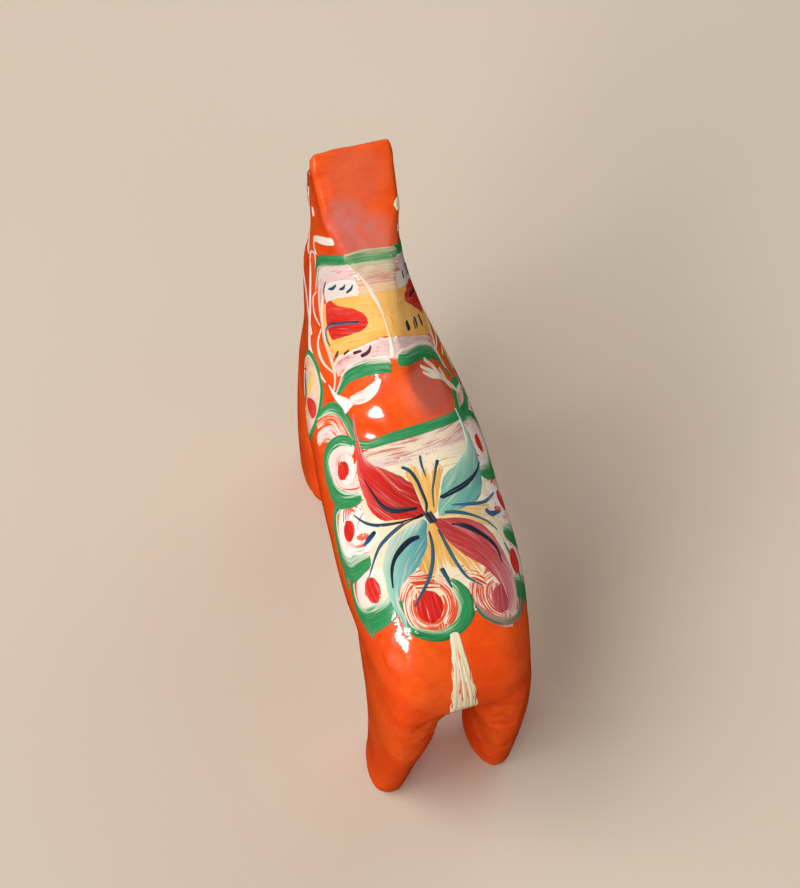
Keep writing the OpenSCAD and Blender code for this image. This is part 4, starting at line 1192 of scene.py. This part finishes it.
# the reins on the left, each with its paints and what differs from a thin line
REINS = [
    ([(18.4, 5, 50.6, 0.1), (17.5, 5.3, 48.4, 0.3), (16.2, 5.6, 46, 0.55),
      (14.5, 6.2, 43.8, 0.6), (12, 6.8, 42.8, 0.55), (9.5, 6.9, 43.5, 0.42),
      (7.2, 6.8, 44.2, 0.25), (5.4, 6.5, 44.9, 0.1)],
     (WHITE, "#f3e3da"), dict(dry=[0.1, 0, 0, 0.1, 0.3])),
    ([(17.2, 4.8, 53.6, 0.1), (16.5, 4.9, 52, 0.14), (15.8, 5.1, 50.2, 0.14),
      (15.2, 5.2, 48.8, 0.08)], (WHITE,), {}),
    ([(14.9, 5.2, 48.9, 0.08), (15.1, 5.5, 47.2, 0.14), (13.7, 5.7, 46.4, 0.16),
      (11.4, 5.5, 47.3, 0.1)], ("#f6dccf",), {}),
    ([(10.8, 5.5, 47.4, 0.1), (10.3, 6.1, 45.9, 0.25), (8.9, 6.4, 45.4, 0.3),
      (7.1, 6.1, 45.8, 0.16), (5.4, 5.7, 46.7, 0.1)], ("#f6d8ca",), {}),
    ([(13, 4.7, 51.2, 0.12), (12.4, 5.1, 49.2, 0.28), (10.5, 5.45, 47.9, 0.32),
      (8, 5.5, 47.4, 0.3), (5.9, 5.5, 47, 0.28), (4.6, 5.6, 46.4, 0.16),
      (3.4, 6, 45.2, 0.08)],
     (["#f6e2d2", "#f4c9a0", "#f3dcc4"],), dict(dry=[0.1, 0.15, 0.3, 0.2], level=0.09, streak=1)),
]
# the fingers of the scroll on the right
FINGERS = [
    [(2.7, -4, 50.4, 0.14), (2.3, -4.8, 49, 0.27), (1.8, -5.4, 48, 0.28),
     (1.4, -6.2, 47, 0.2)],
    [(1.8, -3.6, 50.5, 0.14), (1.6, -4.5, 49.2, 0.28), (1.5, -5.3, 48.2, 0.3),
     (1.3, -6.2, 47, 0.25)],
    [(1.2, -3.7, 50.1, 0.14), (1, -4.5, 49.1, 0.26), (1.1, -5.3, 48.2, 0.3),
     (1.2, -6.2, 47, 0.25)],
    [(2.7, -5.8, 47.5, 0.12), (2.2, -6.2, 47, 0.28), (1.5, -6.6, 46.4, 0.2)],
    [(1.5, -5.8, 47.6, 0.4), (1.4, -6.3, 47, 0.55), (1.2, -6.8, 46, 0.5),
     (1.1, -7.4, 45.1, 0.45), (0.9, -7.9, 44.3, 0.25)],
    [(0.9, -7.9, 44.3, 0.3), (2.6, -8.4, 42.9, 0.16), (4.4, -8.5, 42.3, 0.06)],
]
# bridle lines on the side of the face: x, z and half width, then height over the coat
BRIDLE = [
    ([(20.8, 60.6, 0.2), (23.4, 56.4, 0.32), (25.6, 52.2, 0.34), (27.2, 48.6, 0.25)], 0.05),
    ([(19, 50.6, 0.15), (22.2, 49.2, 0.28), (25, 48.4, 0.3), (27.4, 48.4, 0.2)], 0.054),
    ([(28.9, 53.4, 0.3), (28, 50.4, 0.34), (27.2, 47.2, 0.34), (26.6, 44.2, 0.25)], 0.058),
    ([(29.8, 49.4, 0.12), (29.2, 48.6, 0.2), (28.7, 49.4, 0.12)], 0.05),
]


def paint_harness():
    reins = Piece("reins", "paint_white")
    scrolls = Piece("scrolls", "paint_white")
    bridle = Piece("bridle_lines", "paint_white")
    thin = dict(level=0.05, step=0.25, ragged=0.1, streak=0.8)

    def side_of(put, side):
        for rows, paints, own in REINS:
            reins.stroke(put(rows), *paints, **{**thin, **own})
        ribbon = dict(level=0.07, under="#e88f80", step=0.25, streak=1.2)
        if side > 0:
            scrolls.stroke([(1.2, 1.2, 50.7, 0.2), (0.8, 1.8, 50, 0.5), (0.6, 2.5, 49.3, 0.68),
                (0.6, 3.2, 48.6, 0.72), (0.9, 4, 47.8, 0.62), (1.3, 4.6, 47.1, 0.35)], WHITE,
                "#f2e2dd", WHITE, blend=(0.4, -0.4, 0.3), dry=[0.02, 0.12, 0.25, 0.2], **ribbon)
            scrolls.stroke([(4.9, 6.3, 45.2, 0.06), (3.3, 6, 45.5, 0.3), (2.1, 5.6, 46.1, 0.55),
                (1.1, 5.2, 46.6, 0.8), (0.3, 5, 46.7, 0.85)], WHITE, "#f7f1ec",
                dry=[0.1, 0.08, 0.12, 0.2], rounded=0.2, **ribbon)
        else:
            for rows in FINGERS:
                scrolls.stroke(rows, "#eee3cd", "#e9dcc6", dry=[0.05, 0.1, 0.1], **ribbon)
        # cheek stroke with its curl, and the bridle
        bridle.stroke(put([(17.2, 4.5, 56.1, 0.3), (15.8, 4.2, 57.9, 0.45), (13.9, 3.9, 60.2, 0.5),
            (12.3, 3.6, 62.2, 0.42)]), WHITE, "#f7ece0", level=0.05, dry=[0, 0, 0.05, 0.1])
        bridle.stroke(put([(17.2, 4.6, 56.2, 0.2), (17.2, 4.7, 54.6, 0.13),
            (16.3, 4.7, 54.4, 0.14), (16.9, 4.8, 53.6, 0.14), (18.3, 4.9, 51.9, 0.16),
            (18.4, 5, 50.4, 0.1)]), WHITE, **thin)
        bridle.stroke(put([(17.6, 4.4, 59.8, 0.14), (17.9, 4.4, 60.3, 0.26),
            (18.3, 4.4, 60.2, 0.3), (18.3, 4.4, 59.8, 0.26), (17.8, 4.4, 59.4, 0.14)]), WHITE,
            **thin)
        bridle.stroke(put(on_flank(1, [(20.6, 60.4, 0.12), (20.8, 57.6, 0.14), (20.2, 54, 0.16),
            (19.2, 51.2, 0.1)])), WHITE, **thin)
        for rows, level in BRIDLE:
            bridle.stroke(put(on_flank(1, rows)), WHITE, level=level)

    both_sides(side_of)
    bridle.dab((14.3, -3.7, 64), 1, 0.8, CREAM, level=0.07)
    # across the nose and the forehead
    for rows in ([(28.9, 2.6, 53.4, 0.3), (29.1, 0, 54, 0.32), (28.9, -2.6, 53.4, 0.3)],
                 [(20.9, 3.9, 62.8, 0.25), (21.8, 0, 64.4, 0.3), (20.9, -3.9, 62.8, 0.25)]):
        bridle.stroke(rows, WHITE, level=0.05)
    # breast strap with a leaf on each side
    for side in (1, -1):
        put = (lambda r: r) if side > 0 else mirrored
        reins.stroke(put(on_front([(6.4, 44.2, 0.2), (4.4, 41.2, 0.34), (2, 39.4, 0.36),
            (0, 38.9, 0.3)])), WHITE, level=0.05)
        for leaf in ([(0.5, 38, 0.1), (1.6, 36.4, 0.55), (2.4, 34.4, 0.75), (2.2, 32.2, 0.5),
                      (1.4, 30.6, 0.1)],
                     [(1.6, 40.6, 0.1), (2.8, 42.4, 0.5), (3.2, 44.4, 0.6), (2.6, 46.2, 0.15)]):
            scrolls.stroke(put(on_front(leaf)), WHITE, "#f3e2dc", level=0.05, dry=0.15,
                under="#e88f80")


def paint_shoulders():
    ground = Piece("shoulder_ground", "paint_pink_white")
    border = Piece("shoulder_border", "paint_green")
    red = Piece("shoulder_red", "paint_red")
    yellow = Piece("shoulder_yellow", "paint_ochre")
    blue = Piece("shoulder_blue", "paint_grey_blue")
    pale, reds, yellows = "#e3e6c8", (RED, "#d9382a"), ("#f2bf62", "#f5c870")
    for side in (1, -1):
        coats = (GREEN, GREEN, pale) if side > 0 else (pale, GREEN, GREEN)
        inner = (2, -0.4, 0.3) if side > 0 else (0.4, -2, 0.3)
        for piece, rows, paints, style in (
            (ground, [(10.9, 40.4, 0.7), (9.6, 42.2, 0.9), (7.4, 42.8, 1), (5, 42.2, 1),
                      (3.8, 40.2, 1), (4.2, 37.8, 1), (6.2, 36.2, 1), (8.6, 36.2, 1),
                      (10.6, 37.6, 0.8)], (PINK_WHITE, "#f3cbb4"),
             dict(dry=[0.3, 0.2, 0.1, 0.2, 0.3], under="#ee7a48", level=0.03)),
            (ground, [(4.4, 39.6, 1.2), (7.2, 39.8, 2.3), (10.4, 39.2, 1.2)],
             ("#f2c4aa", PINK_WHITE), dict(dry=0.15, under="#ee7a48", level=0.034)),
            (border, [(11.9, 38, 0.25), (11.9, 40.6, 0.45), (10.4, 43, 0.5),
                      (7.8, 44, 0.5), (4.8, 43.4, 0.5), (2.9, 41.2, 0.5), (2.9, 38, 0.5),
                      (4.6, 35.6, 0.55), (7.4, 34.8, 0.55), (10.2, 35.6, 0.45),
                      (11.8, 37.6, 0.25)], coats, dict(blend=inner, level=0.055, streak=0.7)),
            (blue, [(7.2, 39.4, 0.4), (8.6, 39, 0.95), (10.2, 38.4, 0.9), (11, 38.2, 0.3)],
             (GREY_BLUE, "#4e6f80"), dict(level=0.06, dry=0.08, under=PINK_WHITE)),
            (yellow, [(6.9, 40, 0.3), (7.2, 41.2, 0.85), (7.9, 42.4, 0.8), (8.4, 43, 0.2)],
             yellows, dict(level=0.06)),
            (yellow, [(6.6, 38.8, 0.3), (6.2, 37.6, 0.8), (5.6, 36.6, 0.6)], yellows,
             dict(level=0.062)),
            (red, [(6.6, 39.6, 0.3), (5.4, 40.4, 0.95), (4.2, 41.2, 0.95), (3.4, 41.6, 0.3)],
             reds, dict(level=0.064, dry=0.05, under=PINK_WHITE)),
            (red, [(7.2, 38.6, 0.3), (7.8, 37.2, 0.8), (8.6, 36.2, 0.4)], reds,
             dict(level=0.066, dry=0.05, under=PINK_WHITE)),
        ):
            piece.stroke(on_flank(side, rows), *paints, **style)


def paint_face():
    eyes = Piece("eyes", "paint_white")
    pupils = Piece("pupils", "paint_dark_blue")
    mouth = Piece("mouth_lines", "paint_dark_blue")
    for side in (1, -1):
        centre = on_flank(side, [(22.7, 58, 1)])[0][:3]
        eyes.dab(centre, 1.35, 0.95, WHITE, turn=(1, 0, -0.9), level=0.055)
        pupils.dab(centre, 0.7, 0.62, "#141a24", turn=(1, 0, -0.9), level=0.085)
        pupils.stroke(on_flank(side, [(21.5, 59.6, 0.1), (22.9, 59.5, 0.16), (24.1, 58.3, 0.08)]),
            "#141a24", level=0.06, step=0.2)
        mouth.stroke(on_flank(side, [(30.7, 45, 0.18), (29.4, 45.3, 0.22), (28.2, 46.2, 0.12)]),
            "#1a2230", level=0.05, step=0.2)
        mouth.dab(on_flank(side, [(30.6, 48, 1)])[0][:3], 0.42, 0.3, "#1a2230",
            turn=(1, 0, -0.6), level=0.05)


def paint_tail():
    tail = Piece("tail_stroke", "paint_cream")
    tail.stroke([(-26.9, 0.5, 44, 0.5), (-28.3, 0.5, 43, 0.62), (-29.6, 0.45, 41.6, 0.85),
        (-30.8, 0.45, 39.6, 1.15), (-31.7, 0.45, 37, 1.4), (-32.2, 0.45, 34, 1.6)], "#e9debd",
        "#e4d5ae", "#efe6cd", blend=(0.3, -0.4, 0.3), level=0.09,
        dry=[0.2, 0.28, 0.4, 0.44, 0.4, 0.28], under="#d9471a", ragged=0.8, streak=1.4,
        wobble=0.11, rounded=0.1)
    for y, w in ((1.15, 0.24), (0.1, 0.16), (-0.6, 0.2)):
        tail.stroke([(-29.2, 0.5 + 0.4 * y, 42.2, 0.1), (-30.6, 0.4 + 0.75 * y, 40, w),
            (-31.6, 0.3 + y, 37.4, w + 0.06), (-32.2, 0.3 + 1.1 * y, 34.2, w)], "#f1e8cf",
            "#e8dcba", level=0.105, dry=[0.3, 0.1, 0.2, 0.3], under="#e6d7b0", ragged=0.9,
            streak=1.2)


paint = brushed_paint("brushed_paint")
for group in (paint_saddle, paint_flower, paint_mane, paint_harness, paint_shoulders,
              paint_face, paint_tail):
    group()
for piece in PIECES:
    piece.build(paint)

# ---------------------------------------------------------------- floor and light
def add_stage():
    size = 6
    mesh = mesh_from("floor", [(-size, -size, 0), (size, -size, 0), (size, size, 0),
                               (-size, size, 0)], [(0, 1, 2, 3)])
    material, n = new_material("pale_floor")
    tone = n.noise(n.add("ShaderNodeTexCoord").outputs["Object"], scale=9.0, detail=3.0)
    n.surface({"Base Color": n.mix(tone, (0.57, 0.50, 0.41, 1), (0.63, 0.555, 0.46, 1)),
               "Roughness": 0.9, "Specular IOR Level": 0.0})
    mesh.materials.append(material)
    floor = linked("floor", mesh)
    floor.visible_glossy = False

    world = bpy.data.worlds.new("studio")
    world.use_nodes = True
    world.node_tree.nodes["Background"].inputs["Color"].default_value = (1.0, 0.97, 0.93, 1)
    world.node_tree.nodes["Background"].inputs["Strength"].default_value = 0.30
    world.cycles_visibility.glossy = False
    bpy.context.scene.world = world
    bpy.context.scene.view_settings.view_transform = "Standard"
    bpy.context.scene.view_settings.look = "None"
    bpy.context.scene.view_settings.exposure = 0.0


def area_light(name, where, aim, width, height, power, colour=(1, 1, 1), mirrored_in=True,
               brightens=True):
    data = bpy.data.lights.new(name, "AREA")
    data.shape, data.size, data.size_y = "RECTANGLE", width, height
    data.energy, data.color = power, colour
    light = linked(name, data)
    light.location = where
    way = Vector(aim) - Vector(where)
    light.rotation_euler = way.to_track_quat("-Z", "Y").to_euler()
    light.visible_glossy = mirrored_in
    light.visible_diffuse = brightens


def sky_light(name, where, spread, power, colour):
    """An even light from far away, soft by its angle."""
    data = bpy.data.lights.new(name, "SUN")
    data.angle, data.energy, data.color = spread, power, colour
    light = linked(name, data)
    light.rotation_euler = (-Vector(where)).to_track_quat("-Z", "Y").to_euler()
    light.visible_glossy = False


add_stage()
area_light("window", (-0.205, 0.531, 0.248), (-0.015, 0, 0.043), 0.13, 0.12, 6.5,
           brightens=False)
area_light("soft_box", (0.0, 0.50, 0.85), (0, 0, 0.04), 0.6, 0.6, 6.6, (1, 0.975, 0.94),
           mirrored_in=False)
sky_light("low_window", (-0.8, 1.0, 0.5), 0.58, 1.45, (1, 0.97, 0.94))
area_light("room", (0.5, -0.6, 0.7), (0, 0, 0.04), 0.8, 0.8, 2.2, (1, 0.98, 0.96),
           mirrored_in=False)
